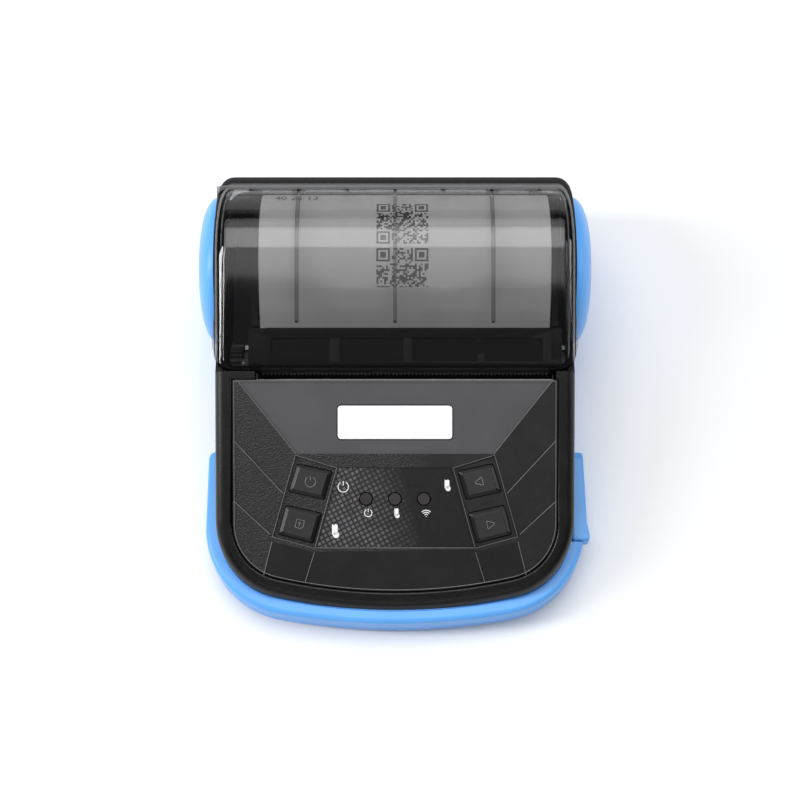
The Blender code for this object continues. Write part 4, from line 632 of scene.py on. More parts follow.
class Value:
    """A number socket that takes part in Python expressions, which add Math nodes."""

    __add__ = __radd__ = _operator("ADD")
    __mul__ = __rmul__ = _operator("MULTIPLY")
    __sub__ = _operator("SUBTRACT")
    __rsub__ = _operator("SUBTRACT", swapped=True)
    __truediv__ = _operator("DIVIDE")
    __pow__ = _operator("POWER")
    __mod__ = _operator("FLOORED_MODULO")
    __abs__ = _operator("ABSOLUTE")
    __gt__ = _operator("GREATER_THAN")
    __lt__ = _operator("LESS_THAN")
    floor = _operator("FLOOR")
    sine = _operator("SINE")
    root = _operator("SQRT")
    turn = _operator("ARCTAN2")
    least = _operator("MINIMUM")
    most = _operator("MAXIMUM")

    def __init__(self, net: Net, socket: Socket) -> None:
        """Keep the net and the socket."""
        self.net = net
        self.socket = socket

    def calculate(self, operation: str, *terms: Value | float, clamp: bool = False) -> Value:
        """Return the result of one Math node on some terms."""
        settings = {"operation": operation, "use_clamp": clamp}
        return self.net.add("ShaderNodeMath", settings, dict(enumerate(terms)))

    def held(self) -> Value:
        """Return the value held between 0 and 1."""
        return self.calculate("ADD", self, 0.0, clamp=True)

    def within(self, low: float, high: float) -> Value:
        """Return 1 where this is between two numbers."""
        return (self > low) * (self < high)

    def ramp(self, low: float, high: float) -> Value:
        """Return 0 below the low number, 1 above the high one and a straight rise between."""
        return ((self - low) / (high - low)).held()


class Net:
    """The node tree of a material or a world, with the one way that nodes are added to it."""

    def __init__(self, name: str, kind: str = "materials") -> None:
        """Start an empty tree."""
        self.owner = getattr(bpy.data, kind).new(name)
        self.owner.use_nodes = True
        self.tree = self.owner.node_tree
        self.tree.nodes.clear()

    def node(self, kind: str, settings: dict[str, object] | None = None,
             inputs: dict[str | int, object] | None = None) -> bpy.types.Node:
        """Add one node.

        Args:
            kind: Its type.
            settings: Its settings, set first.
            inputs: Values or links of its sockets.

        Returns:
            The node.
        """
        made = self.tree.nodes.new(kind)
        for key, value in (settings or {}).items():
            setattr(made, key, value)
        for key, value in (inputs or {}).items():
            socket = made.inputs[key]
            if isinstance(value, Value):
                self.tree.links.new(value.socket, socket)
            elif isinstance(value, Socket):
                self.tree.links.new(value, socket)
            else:
                socket.default_value = value
        return made

    def add(self, kind: str, settings: dict[str, object] | None = None,
            inputs: dict[str | int, object] | None = None, out: str | int = 0) -> Value:
        """Add one node and return one of its sockets as a value."""
        return Value(self, self.node(kind, settings, inputs).outputs[out])

    def place(self) -> Socket:
        """Return the place on the piece, in metres in the shared frame."""
        return self.node("ShaderNodeTexCoord").outputs["Object"]

    def split(self, vector: Socket) -> tuple[Value, Value, Value]:
        """Return a vector's three numbers."""
        made = self.node("ShaderNodeSeparateXYZ", None, {0: vector})
        return tuple(Value(self, made.outputs[i]) for i in range(3))

    def vector(self, x: Value | float, y: Value | float, z: Value | float = 0.0) -> Socket:
        """Return a vector from three numbers."""
        return self.node("ShaderNodeCombineXYZ", None, {0: x, 1: y, 2: z}).outputs[0]

    def noise(self, scale: float, detail: float = 2.0, vector: Socket | None = None,
              rough: float = 0.5) -> Value:
        """Return noise of a number of cells per metre."""
        inputs = {"Vector": vector or self.place(), "Scale": scale, "Detail": detail, "Roughness": rough}
        return self.add("ShaderNodeTexNoise", None, inputs)

    def pick(self, vector: Socket) -> Value:
        """Return a random number for each different place."""
        return self.add("ShaderNodeTexWhiteNoise", {"noise_dimensions": "3D"}, {"Vector": vector})

    def mix(self, share: Value | float, first: Colour | Socket,
            second: Colour | Socket) -> Socket:
        """Return a mix of two colours."""
        made = self.node("ShaderNodeMix", {"data_type": "RGBA"}, {0: share})
        for index, colour in ((6, first), (7, second)):
            if isinstance(colour, tuple):
                made.inputs[index].default_value = (*colour, 1.0)
            else:
                self.tree.links.new(colour, made.inputs[index])
        return made.outputs[2]

    def bump(self, height: Value, distance: float, strength: float = 1.0) -> Socket:
        """Return a normal from a height."""
        inputs = {"Height": height, "Distance": distance, "Strength": strength}
        return self.node("ShaderNodeBump", None, inputs).outputs["Normal"]

    def surface(self, inputs: dict[str, object]) -> Socket:
        """Return a surface with these inputs."""
        values = {
            key: (*value, 1.0) if isinstance(value, tuple) and len(value) == 3 else value
            for key, value in inputs.items()
        }
        return self.node("ShaderNodeBsdfPrincipled", None, values).outputs[0]

    def end(self, surface: Socket) -> Material:
        """End the tree in a surface and return the material."""
        self.node("ShaderNodeOutputMaterial", None, {"Surface": surface})
        return self.owner

    def close(self, inputs: dict[str, object]) -> Material:
        """End the tree in a surface with these inputs and return the material."""
        return self.end(self.surface(inputs))


@dataclass(frozen=True)
class Moulded:
    """Moulded plastic: an even colour with a faint drift, a sparked grain and handling marks."""

    name: str
    colour: Colour
    roughness: float
    grain: float = 2600.0
    depth: float = 0.00003
    drift: float = 0.1
    rubbed: float = 0.08
    specular: float = 0.5
    coat: float = 0.0
    worn: Point | None = None

    def material(self) -> Material:
        """Return the material."""
        net = Net(self.name)
        drift = net.noise(70.0, 3.0)
        dark = tuple(c * (1 - self.drift) for c in self.colour)
        light = tuple(min(1.0, c * (1 + self.drift)) for c in self.colour)
        grain = net.noise(self.grain, 2.0, rough=0.6)
        marks = net.noise(160.0, 4.0, rough=0.7).ramp(0.45, 0.75)
        height = grain
        if self.worn:
            x, _, _ = net.split(net.place())
            height = grain * (1.0 - x.ramp(*self.worn) * 0.85)
        return net.close({
            "Base Color": net.mix(drift.ramp(0.3, 0.7), dark, light),
            "Roughness": self.roughness + marks * self.rubbed + (grain - 0.5) * self.rubbed,
            "Specular IOR Level": self.specular,
            "Coat Weight": self.coat,
            "Normal": net.bump(height, self.depth),
        })


@dataclass(frozen=True)
class Brushed:
    """Metal with fine lines along one axis, a slight tint and fingerprints."""

    name: str
    colour: Colour
    roughness: float
    along: Vector
    lines: float = 9000.0
    depth: float = 0.00001

    def material(self) -> Material:
        """Return the material."""
        net = Net(self.name)
        squeeze = tuple(0.03 if abs(a) > 0.5 else 1.0 for a in self.along)
        stretched = net.node("ShaderNodeMapping", None, {"Vector": net.place(), "Scale": squeeze}).outputs[0]
        lines = net.noise(self.lines, 2.0, stretched)
        cloud = net.noise(120.0, 3.0)
        dark = tuple(c * 0.8 for c in self.colour)
        return net.close({
            "Base Color": net.mix(cloud.ramp(0.3, 0.7) * 0.6 + lines * 0.4, dark, self.colour),
            "Metallic": 1.0,
            "Roughness": self.roughness + (lines - 0.5) * 0.15 + cloud.ramp(0.5, 0.8) * 0.08,
            "Normal": net.bump(lines, self.depth),
        })


@dataclass(frozen=True)
class SmokedClear:
    """Smoked plastic: a tint to look through under a clear reflection, with painted shade where it turns away:
    almost black there, with its reflection taken out.
    """

    name: str = "smoked_clear_plastic"
    tint: Colour = (0.004, 0.004, 0.0045)
    facing: float = 0.25
    # The facings over which the painted shade sets in where the surface turns away.
    turned: Point = (0.57, 0.64)
    least: float = 0.042

    def material(self) -> Material:
        """Return the material."""
        net = Net(self.name)
        edge = net.add("ShaderNodeLayerWeight", None, {"Blend": 0.5}, "Facing")
        haze = net.noise(300.0, 3.0)
        ripple = net.bump(net.noise(28.0, 1.0), 0.0002)
        # Painted shade: where the surface turns from view it goes near opaque black. Part of that comes from
        # the longer path through the wall; most of it stands in for the shadowed floor it would reflect.
        turned = edge.ramp(*self.turned)
        body = net.surface({
            "Base Color": self.tint,
            "Roughness": 0.6,
            "Specular IOR Level": 0.0,
            "Alpha": (self.facing + haze.ramp(0.55, 0.8) * 0.015) + turned * (0.97 - self.facing),
        })
        gloss = net.surface({
            "Base Color": (0.92, 0.92, 0.93),
            "Metallic": 1.0,
            "Roughness": 0.035 + haze * 0.02,
            "Normal": ripple,
        })
        # Painted shade: where the surface turns from view, the clear reflection is taken out as well.
        share = (edge**3 * (1 - self.least) + self.least) * (1 - turned * 0.93)
        return net.end(net.node("ShaderNodeMixShader", None, {0: share, 1: body, 2: gloss}).outputs[0])


@dataclass(frozen=True)
class Paper:
    """Thermal paper: smooth coated white, with the layers showing on a roll's ends."""

    name: str
    printed: bool
    white: Colour = (0.84, 0.84, 0.83)
    ink: Colour = (0.022, 0.022, 0.026)
    layer: float = 0.00021
    cells: int = 27
    block: float = 0.0141
    middle_x: float = 0.002
    starts: Point = (0.0187, 0.034)

    def material(self) -> Material:
        """Return the material."""
        net = Net(self.name)
        x, y, z = net.split(net.place())
        fibre = net.noise(900.0, 3.0)
        paper = net.mix(fibre, tuple(c * 0.94 for c in self.white), self.white)
        inputs: dict[str, object] = {"Roughness": 0.55 + fibre * 0.12, "Specular IOR Level": 0.35}
        if not self.printed:
            inputs["Base Color"] = paper
            inputs["Normal"] = net.bump(fibre, 0.000015)
            return net.close(inputs)
        across, up = y - LAY.roll_y, z - LAY.roll_z
        reach = (across * across + up * up).root()
        on_end = 1.0 - reach.ramp(LAY.roll_radius - 0.00006, LAY.roll_radius - 0.00002)
        wobble = net.noise(60.0, 1.0) * 0.0009
        layers = (((reach + wobble) / self.layer) * math.pi).sine() * 0.5 + 0.5
        rings = net.noise(1.0, 2.0, net.vector((reach * 2600.0), 0.0)).ramp(0.35, 0.65)
        ends = net.mix(layers * 0.35 + rings * 0.5, (0.5, 0.495, 0.48), (0.8, 0.79, 0.77))
        along = up.turn(across) * LAY.roll_radius
        ink = self._codes(net, x, along)
        sheet = net.mix(ink * (0.86 + fibre * 0.14), paper, self.ink)
        inputs["Base Color"] = net.mix(on_end, sheet, ends)
        inputs["Normal"] = net.bump(fibre * 0.3 + on_end * layers * 0.7, 0.00006)
        return net.close(inputs)

    def _codes(self, net: Net, x: Value, along: Value) -> Value:
        """Return where two stacked squares of random cells are printed round the roll."""
        cell = self.block / self.cells
        column = ((x - (self.middle_x - self.block / 2)) / cell).floor()
        last = self.cells - 4
        inked = None
        for start in self.starts:
            row = ((along - start) / cell).floor()
            inside = column.within(-0.5, self.cells - 0.5) * row.within(-0.5, self.cells - 0.5)
            corner = None
            for u, v in ((3, 3), (last, 3), (3, last)):
                reach = abs(column - u).most(abs(row - v))
                corner = reach if corner is None else corner.least(reach)
            frame = corner.within(2.5, 3.5).most(corner < 1.5)
            free = corner > 4.5
            random = net.pick(net.vector(column, row, start * 1000)) > 0.5
            blocks = frame.most(random * free) * inside
            inked = blocks if inked is None else inked.most(blocks)
        return inked


@dataclass(frozen=True)
class MeshFilm:
    """The dark film between the keys, with a fine leaning mesh of squares that fades to the right."""

    name: str = "panel_film"
    pitch: float = 0.00128
    lean: float = math.radians(27)
    dark: Colour = (0.0105, 0.01, 0.011)
    light: Colour = (0.155, 0.15, 0.155)
    fade_start: float = -0.004
    fade_end: float = 0.0105

    def material(self) -> Material:
        """Return the material."""
        net = Net(self.name)
        x, y, _ = net.split(net.place())
        up = (y - LAY.panel.to_translation().y) / math.cos(LAY.slope)
        u = x * math.cos(self.lean) + up * math.sin(self.lean)
        v = up * math.cos(self.lean) - x * math.sin(self.lean)
        across, along = (u / self.pitch) % 1.0, (v / self.pitch) % 1.0
        inner = (abs(across - 0.5).most(abs(along - 0.5)) < 0.24)
        frame = 1.0 - inner
        outer = abs(across - 0.5).most(abs(along - 0.5)) < 0.4
        cell = net.pick(net.vector((u / self.pitch).floor(), (v / self.pitch).floor()))
        squares = outer * (inner * 0.9 + frame * 0.45)
        fade = 1.0 - (x + up * 0.25).ramp(self.fade_start, self.fade_end)
        strength = squares * (0.55 + cell * 0.45) * (fade**0.8)
        haze = net.noise(900.0, 2.0)
        return net.close({
            "Base Color": net.mix(strength.held(), self.dark, self.light),
            "Roughness": 0.3 + haze * 0.12,
            "Normal": net.bump(haze, 0.00001),
        })


@dataclass(frozen=True)
class Board:
    """Circuit board: green solder mask with paler tracks and tinned pads."""

    name: str = "board"
    pitch: float = 0.0021
    field: float = 0.0041

    def material(self) -> Material:
        """Return the material."""
        net = Net(self.name)
        x, y, z = net.split(net.place())
        wander = net.pick(net.vector((y / self.pitch).floor(), (x / 0.013).floor())) * 0.5
        tracks = ((((x + z) / self.pitch) + wander) % 1.0) < 0.28
        other = (((y / self.pitch) + net.pick(net.vector((x / self.field).floor(), 3.0))) % 1.0) < 0.24
        choose = net.pick(net.vector((x / self.field).floor(), (y / 0.0063).floor())) > 0.5
        lines = tracks * choose + other * (1.0 - choose)
        pads = net.add("ShaderNodeTexVoronoi", None, {"Vector": net.place(), "Scale": 330.0}) < 0.16
        mask = net.mix(lines, (0.006, 0.06, 0.022), (0.018, 0.12, 0.045))
        return net.close({
            "Base Color": net.mix(pads, mask, (0.62, 0.6, 0.56)),
            "Metallic": pads * 0.9,
            "Roughness": 0.34 - pads * 0.08,
            "Normal": net.bump(lines * 0.6 + pads, 0.00003),
        })


@dataclass(frozen=True)
class Card:
    """Wound grey-brown card with the spiral joint of its strips."""

    name: str = "wound_card"

    def material(self) -> Material:
        """Return the material."""
        net = Net(self.name)
        x, y, z = net.split(net.place())
        turn = (z - LAY.roll_z).turn(y - LAY.roll_y) / (2 * math.pi)
        seam = ((x / 0.021) + turn) % 1.0
        fibre = net.noise(1400.0, 4.0)
        line = 1.0 - abs(seam - 0.5).ramp(0.0, 0.02)
        card = net.mix(fibre, (0.3, 0.215, 0.13), (0.47, 0.36, 0.235))
        return net.close({
            "Base Color": net.mix(line * 0.7, card, (0.16, 0.11, 0.07)),
            "Roughness": 0.86 + fibre * 0.1,
            "Normal": net.bump(fibre - line, 0.00005),
        })


@dataclass(frozen=True)
class Wrap:
    """Shrink film on the battery, with a welded seam and a plain pale band."""

    name: str = "battery_film"

    def material(self) -> Material:
        """Return the material."""
        net = Net(self.name)
        x, y, z = net.split(net.place())
        crease = net.noise(160.0, 4.0, rough=0.65)
        band = x.within(-0.022, 0.012) * y.within(-0.034, -0.018)
        seam = 1.0 - abs(y + 0.0205).ramp(0.0, 0.0006)
        film = net.mix(crease, (0.01, 0.013, 0.028), (0.026, 0.032, 0.06))
        return net.close({
            "Base Color": net.mix(band, film, (0.3, 0.31, 0.33)),
            "Roughness": 0.28 + crease * 0.25,
            "Normal": net.bump(crease * 0.6 + seam * 0.4, 0.00012),
        })


class Look(Enum):
    """Every finish of the printer."""

    BLUE = Moulded("blue_shell", (0.12, 0.415, 0.94), 0.34, 2200.0, 0.000012, 0.04, 0.05, 0.4)
    CASE = Moulded("black_case", (0.0052, 0.0049, 0.0054), 0.3, 2300.0, 0.00008, 0.1, 0.07, 0.4)
    GRAINED = Moulded("grained_panel", (0.0105, 0.01, 0.0108), 0.4, 2100.0, 0.00022, 0.12, 0.08, 0.55,
                      worn=(0.0, 0.012))
    # Painted reflection: the smooth upper field is coloured a lighter grey that stands in for the overhead
    # lamp's sheen on it.
    FIELD = Moulded("panel_painted_sheen", (0.076, 0.0735, 0.077), 0.46, 2600.0, 0.00003, 0.08, 0.08, 0.35)
    SMOOTH = Moulded("smooth_panel", (0.01, 0.0095, 0.0102), 0.42, 2600.0, 0.00003, 0.1, 0.08, 0.35)
    # Painted highlight: the beads along the panel's edges and on the key symbols are coloured light grey to
    # stand in for glints on those edges.
    CREASE = Moulded("painted_crease_glint", (0.15, 0.146, 0.15), 0.35, 2600.0, 0.00001, 0.15, 0.08, 0.5)
    KEY = Moulded("key_border", (0.007, 0.0066, 0.0072), 0.36, 2600.0, 0.00002, 0.1, 0.06, 0.4)
    # Painted light: a lighter copy of the key plastic for the caps' upward faces.
    KEY_TOP = Moulded("key_face_lit", (0.028, 0.027, 0.0285), 0.4, 2600.0, 0.00002, 0.1, 0.06, 0.4)
    INNER = Moulded("inner_black", (0.006, 0.0056, 0.0062), 0.46, 2400.0, 0.00004, specular=0.25)
    # Painted highlight: a paler black for the lit band on the carrier's roof.
    DUSTY = Moulded("painted_highlight_black", (0.032, 0.031, 0.0325), 0.5, 2400.0, 0.00002, specular=0.25)
    LAMP = Moulded("lamp_window", (0.038, 0.033, 0.034), 0.42, 900.0, 0.000004, 0.2, 0.03, 0.3)
    LABEL = Moulded("white_plate", (0.9, 0.9, 0.9), 0.42, 3000.0, 0.000008, 0.02, 0.05, 0.4)
    MARK = Moulded("white_mark", (0.86, 0.86, 0.86), 0.5, 3000.0, 0.000004, 0.03, 0.05, 0.4)
    INK = Moulded("print_ink", (0.022, 0.022, 0.026), 0.6, 3000.0, 0.000004, 0.05, 0.05, 0.3)
    RUBBER = Moulded("platen_rubber_skin", (0.01, 0.0098, 0.0098), 0.72, 3600.0, 0.00003, 0.15, 0.12, 0.3)
    FOOT = Moulded("foot_rubber", (0.012, 0.0116, 0.0116), 0.85, 1900.0, 0.00008, 0.2, 0.1, 0.25)
    GEAR = Moulded("gear_resin", (0.024, 0.0235, 0.023), 0.42, 2400.0, 0.00001, 0.05, 0.08, 0.4)
    BUSH = Moulded("bush_resin", (0.1, 0.1, 0.105), 0.46, 2400.0, 0.00002, 0.1, 0.08, 0.5)
    CERAMIC = Moulded("head_glaze", (0.56, 0.535, 0.49), 0.22, 1200.0, 0.000008, 0.08, 0.06, 0.5, 0.3)
    TEETH = Brushed("dark_steel", (0.16, 0.16, 0.165), 0.42, Vector((1, 0, 0)))
    STEEL = Brushed("turned_steel", (0.6, 0.6, 0.61), 0.26, Vector((0, 1, 0)))
    SHEET = Brushed("zinc_sheet", (0.5, 0.51, 0.52), 0.38, Vector((0, 1, 0)), 5200.0)
    ALUMINIUM = Brushed("extruded_aluminium", (0.68, 0.69, 0.7), 0.34, Vector((1, 0, 0)), 5600.0)
    CONTACT = Brushed("gilt_contact", (0.85, 0.6, 0.25), 0.25, Vector((1, 0, 0)), 5600.0)
    SMOKED = SmokedClear()
    SMOKED_RIB = SmokedClear("smoked_rib", (0.006, 0.006, 0.0065), 0.6)
    ROLL = Paper("roll_paper", True)
    WEB = Paper("web_paper", False)
    FILM = MeshFilm()
    BOARD = Board()
    CARD = Card()
    WRAP = Wrap()


_MADE: dict[Look, Material] = {}


def look(kind: Look) -> Material:
    """Return the material of a finish, made on its first use."""
    if kind not in _MADE:
        _MADE[kind] = kind.value.material()
    return _MADE[kind]


class SubAssembly:
    """A group of pieces that are built and dressed together."""

    def build(self) -> None:
        """Build the meshes and dress them."""
        raise NotImplementedError


@dataclass
class LowerShell(SubAssembly):
    """The blue tub with its front sill, round cheeks, floor and openings."""

    sill_lift: float = 0.0006
    sill_drop: float = 0.0004
    sill_edge: float = 0.0014
    tub_edge: float = 0.002
    lobe_radius: float = 0.021
    lobe_bulge: float = 0.00535
    lobe_wall: float = 0.0016
    lobe_y: float = 0.0363
    lobe_z: float = 0.023
    lobe_inner: float = 0.0494
    lobe_power: float = 3.3
    seam_z: float = 0.0045
    seam_width: float = 0.0003
    seam_depth: float = 0.0004
    lever_front: float = -0.0395
    lever_bottom: float = 0.0065
    lever_ledge: float = 0.0008
    socket_base: float = 0.0049
    usb_y: float = 0.0085
    usb_size: Point = (0.0078, 0.0029)
    jack_y: float = -0.002
    jack_size: Point = (0.0062, 0.0044)
    battery_low: Point = (-0.031, -0.03698)
    battery_high: Point = (0.031, -0.013)
    door_margin: float = 0.0018
    door_thickness: float = 0.001
    door_travel: float = 0.005
    feet: tuple[Point, ...] = ((0.038, -0.0485), (0.041, 0.051))
    foot_radius: float = 0.004
    foot_sink: float = 0.0006
    screws: tuple[Point, ...] = ((0.0405, -0.0385), (0.031, 0.0555))
    screw_radius: float = 0.0012
    screw_head: float = 0.0022
    screw_head_height: float = 0.001

    def build(self) -> None:
        """Build the tub and dress it."""
        shell = Bench.prism(CASE_PLAN.outline(), LAY.stand, LAY.parting)
        low = LAY.stand + WELD
        Bench.round_edges(shell, self.tub_edge, 6, lambda a, b: a.z < low and b.z < low)
        sill_top = LAY.parting - self.sill_drop
        sill = Bench.prism(SILL_PLAN.outline(), LAY.stand + self.sill_lift, sill_top)
        Bench.soften(sill, self.sill_edge, 6, 50)
        Bench.fuse(shell, sill)
        for side in (-1, 1):
            Bench.fuse(shell, *self._lobe(side))
        cavity = Bench.prism(CASE_PLAN.outline(LAY.wall), LAY.floor, LAY.parting + OVER)
        front = Bench.prism(SILL_PLAN.outline(LAY.wall), LAY.floor, LAY.parting - LAY.wall)
        reach = Bench.block((-0.06, -LAY.half_length, 0), (0.06, -0.043, LAY.parting))
        Bench.combine(front, Op.COMMON, reach)
        Bench.cut(shell, cavity, front)
        self._cut_seam(shell)
        self._cut_sides(shell)
        self._cut_floor(shell)
        Bench.dress(shell, Look.BLUE, "blue_tub", "blue_plastic", "lower_shell")

    def _lobe(self, side: int) -> tuple[Piece, Piece]:
        """Return one round cheek and its root on the tub."""
        face: Outline = []
        for step in range(18):
            share = math.sin(step / 17 * math.pi / 2)
            face.append((self.lobe_radius * share, self.lobe_bulge * math.sqrt(1 - share**self.lobe_power)))
        inner, drop = self.lobe_radius - self.lobe_wall, self.lobe_bulge - self.lobe_wall
        back = [(inner * r, drop * math.sqrt(1 - r**self.lobe_power)) for r in (0.99, 0.9, 0.7, 0.4, 0.0)]
        turn = Matrix.Rotation(side * math.pi / 2, 4, "Y")
        frame = Matrix.Translation((side * self.lobe_inner, self.lobe_y, self.lobe_z)) @ turn
        dish = Bench.lathe(face + [(inner, 0.0)] + back, frame, 96)
        half = math.sqrt(self.lobe_radius**2 - (self.lobe_z - LAY.parting) ** 2) - self.lobe_wall
        ends = span(side, LAY.case_half - LAY.wall / 2, self.lobe_inner + self.lobe_wall)
        root = Bench.block(
            (ends[0], self.lobe_y - half, LAY.floor + LAY.wall),
            (ends[1], self.lobe_y + half, LAY.parting - GAP),
        )
        return dish, root

    def _cut_seam(self, shell: Piece) -> None:
        """Cut the fine line between the sill and the floor plate."""
        band = SILL_PLAN.band(-self.tub_edge, self.seam_depth, SILL_PLAN.rear + WELD)
        half = self.seam_width / 2
        Bench.cut(shell, Bench.prism(band, self.seam_z - half, self.seam_z + half))

    def _cut_sides(self, shell: Piece) -> None:
        """Cut the lever's seat and the openings for the sockets."""
        low = (LAY.case_half, self.lever_front - GAP, self.lever_bottom - self.lever_ledge)
        high = (0.06, SILL_PLAN.rear + OVER, LAY.parting + OVER)
        Bench.cut(shell, Bench.block(low, high))
        for y, (length, height) in ((self.usb_y, self.usb_size), (self.jack_y, self.jack_size)):
            half = length / 2 + GAP
            centre = self.socket_base + height / 2
            hole = box_outline((y - half, centre - height / 2 - GAP), (y + half, centre + height / 2 + GAP))
            hole = rounded(hole, GAP * 2)
            tool = Bench.prism(hole, -LAY.case_half - OVER, -LAY.case_half + LAY.wall + GAP, ACROSS)
            Bench.cut(shell, tool)

    def _cut_floor(self, shell: Piece) -> None:
        """Cut the battery hatch, the door's track, the feet's seats and the screw holes."""
        (x0, y0), (x1, y1) = self.battery_low, self.battery_high
        hatch = Bench.block((x0 - GAP, y0 - GAP, -OVER), (x1 + GAP, y1 + GAP, LAY.floor + GAP))
        reach = self.door_margin + GAP
        track = Bench.block(
            (x0 - reach, y0 - reach - self.door_travel, -OVER),
            (x1 + reach, y1 + reach, LAY.stand + self.door_thickness + GAP),
        )
        Bench.cut(shell, hatch, track)
        for x, y in mirrored(self.feet):
            top = LAY.stand + self.foot_sink + GAP
            Bench.cut(shell, Bench.rod(self.foot_radius + GAP, -OVER, top, Matrix.Translation((x, y, 0))))
        for x, y in mirrored(self.screws):
            spot = Matrix.Translation((x, y, 0))
            head = LAY.stand + self.screw_head_height + GAP
            Bench.cut(
                shell,
                Bench.rod(self.screw_head + GAP, -OVER, head, spot),
                Bench.rod(self.screw_radius + GAP, -OVER, LAY.floor + GAP, spot, 24),
            )


@dataclass
class UpperCase(SubAssembly):
    """The black wedge with its round rim, panel recess, paper exit and rear lugs."""

    rim_radius: float = 0.0026
    inner_rim: float = 0.0006
    recess: float = 0.0022
    roof: float = 0.0037
    window_half: float = 0.034
    window: Point = (0.13, 0.69)
    rail: float = 0.002
    board_depth: float = 0.0054
    post: Point = (0.0405, -0.0385)
    post_radius: float = 0.0028

    def build(self) -> None:
        """Build the case and dress it."""
        high = LAY.panel_z(LAY.half_length + 2 * OVER)
        case = Bench.prism(CASE_PLAN.outline(), -OVER, high)
        Bench.combine(case, Op.COMMON, self._wedge(0.0, -2 * OVER, None))
        Bench.soften(case, self.rim_radius, 7, 40)
        inner = Bench.prism(CASE_PLAN.outline(LAY.wall), -2 * OVER, high)
        Bench.combine(inner, Op.COMMON, self._wedge(self.roof, -3 * OVER, high + OVER))
        foot = Bench.block((-0.06, -0.07, -2 * OVER), (0.06, 0.07, LAY.case_foot))
        Bench.cut(case, inner, foot, self._above(high + OVER))
        recess = Bench.prism(PANEL_PLAN.outline(), -self.recess, OVER, LAY.panel)
        Bench.cut(case, recess)
        self._round_rim(case)
        self._cut_exit(case)
        self._rails(case)
        self._lugs(case)
        Bench.dress(case, Look.CASE, "black_case", "black_plastic", "upper_case")

    def _wedge(self, depth: float, low: float, top: float | None) -> Piece:
        """Return the solid below the panel's plane, open above behind the exit when it has a top."""
        front, rear = LAY.case_front - OVER, LAY.half_length + OVER
        end = LAY.cover_front - GAP
        outline = [(front, low), (rear, low)]
        if top is None:
            outline.append((rear, LAY.panel_z(rear, depth)))
        else:
            outline += [(rear, top), (end, top), (end, LAY.panel_z(end, depth))]
        outline.append((front, LAY.panel_z(front, depth)))
        return Bench.prism(outline, *THROUGH)

    def _above(self, high: float) -> Piece:
        """Return the room of the cover above the side walls and the rear wall."""
        rear, end = LAY.half_length + OVER, LAY.cover_front - GAP
        wall_top = LAY.wall_top
        knee = LAY.hinge_y - LAY.barrel - 2 * GAP
        outline = [
            (rear, wall_top), (rear, high), (end, high), (end, LAY.side_z(end) - GAP),
            (knee, LAY.side_z(knee) - GAP), (knee, wall_top),
        ]
        return Bench.prism(outline, *THROUGH)

    def _round_rim(self, case: Piece) -> None:
        """Round the inner edge of the rim round the panel."""
        back = LAY.panel.inverted()

        def wanted(first: Vector, second: Vector) -> bool:
            """Tell whether an edge lies on the rim's inner line."""
            ends = [back @ first, back @ second]
            level = all(abs(p.z) < 0.00002 for p in ends)
            length, half = LAY.panel_length - 0.001, LAY.panel_half + 0.0001
            return level and all(p.y < length and abs(p.x) < half for p in ends)

        Bench.round_edges(case, self.inner_rim, 4, wanted)

    def _cut_exit(self, case: Piece) -> None:
        """Cut the paper exit and the window under the keys."""
        end = LAY.cover_front - GAP
        front = LAY.slot_front
        low = (LAY.roll_left - 2 * GAP, front, LAY.panel_z(front, self.roof) - OVER)
        high = (LAY.roll_right + 3 * GAP, end + OVER, LAY.panel_z(end) + OVER)
        length = LAY.panel_length
        window = Bench.block(
            (-self.window_half, self.window[0] * length, -self.roof - OVER / 2),
            (self.window_half, self.window[1] * length, 0), LAY.panel,
        )
        Bench.cut(case, Bench.block(low, high), window)

    def _rails(self, case: Piece) -> None:
        """Add the rails for the key board and the posts for the front screws."""
        length = LAY.panel_length
        for side in (-1, 1):
            ends = span(side, self.window_half, self.window_half + self.rail)
            rail = Bench.block(
                (ends[0], self.window[0] * length, GAP - self.board_depth),
                (ends[1], self.window[1] * length, GAP / 2 - self.roof), LAY.panel,
            )
            x, y = side * self.post[0], self.post[1]
            spot = Matrix.Translation((x, y, 0))
            top = LAY.panel_z(y - self.post_radius, self.roof) + GAP
            Bench.fuse(case, rail, Bench.rod(self.post_radius, LAY.floor + GAP, top, spot, 32))
            Bench.cut(case, Bench.rod(LAY.bore, LAY.floor - OVER, LAY.bore_top, spot, 24))

    def _lugs(self, case: Piece) -> None:
        """Add the hinge lugs on the rear wall."""
        foot_y = (LAY.hinge_y - LAY.barrel / 2, LAY.hinge_y + LAY.barrel - WELD)
        foot_z = (LAY.wall_top - LAY.wall, LAY.hinge_z - LAY.barrel / 4)
        for side in (-1, 1):
            for out in (-1, 1):
                start = LAY.lug_centre + out * (LAY.lug_width / 2 + GAP)
                low, high = span(side, start, start + out * LAY.case_lug)
                Bench.fuse(case, *barrel(low, high, foot_y, foot_z))
            reach = LAY.lug_reach + GAP
            ends = span(side, LAY.lug_centre - reach, LAY.lug_centre + reach)
            Bench.cut(case, Bench.rod(LAY.pin + GAP, *ends, hinge_frame(), 24))


def hinge_frame() -> Matrix:
    """Return the frame of the cover's hinge, its Z axis along the pins."""
    return axle(LAY.hinge_y, LAY.hinge_z)


def barrel(low: float, high: float, foot_y: Point, foot_z: Point) -> tuple[Piece, Piece]:
    """Return a hinge lug's barrel and the neck that carries it."""
    sleeve = Bench.rod(LAY.barrel, low, high, hinge_frame())
    neck = Bench.block((low + WELD, foot_y[0], foot_z[0]), (high - WELD, foot_y[1], foot_z[1]))
    return sleeve, neck


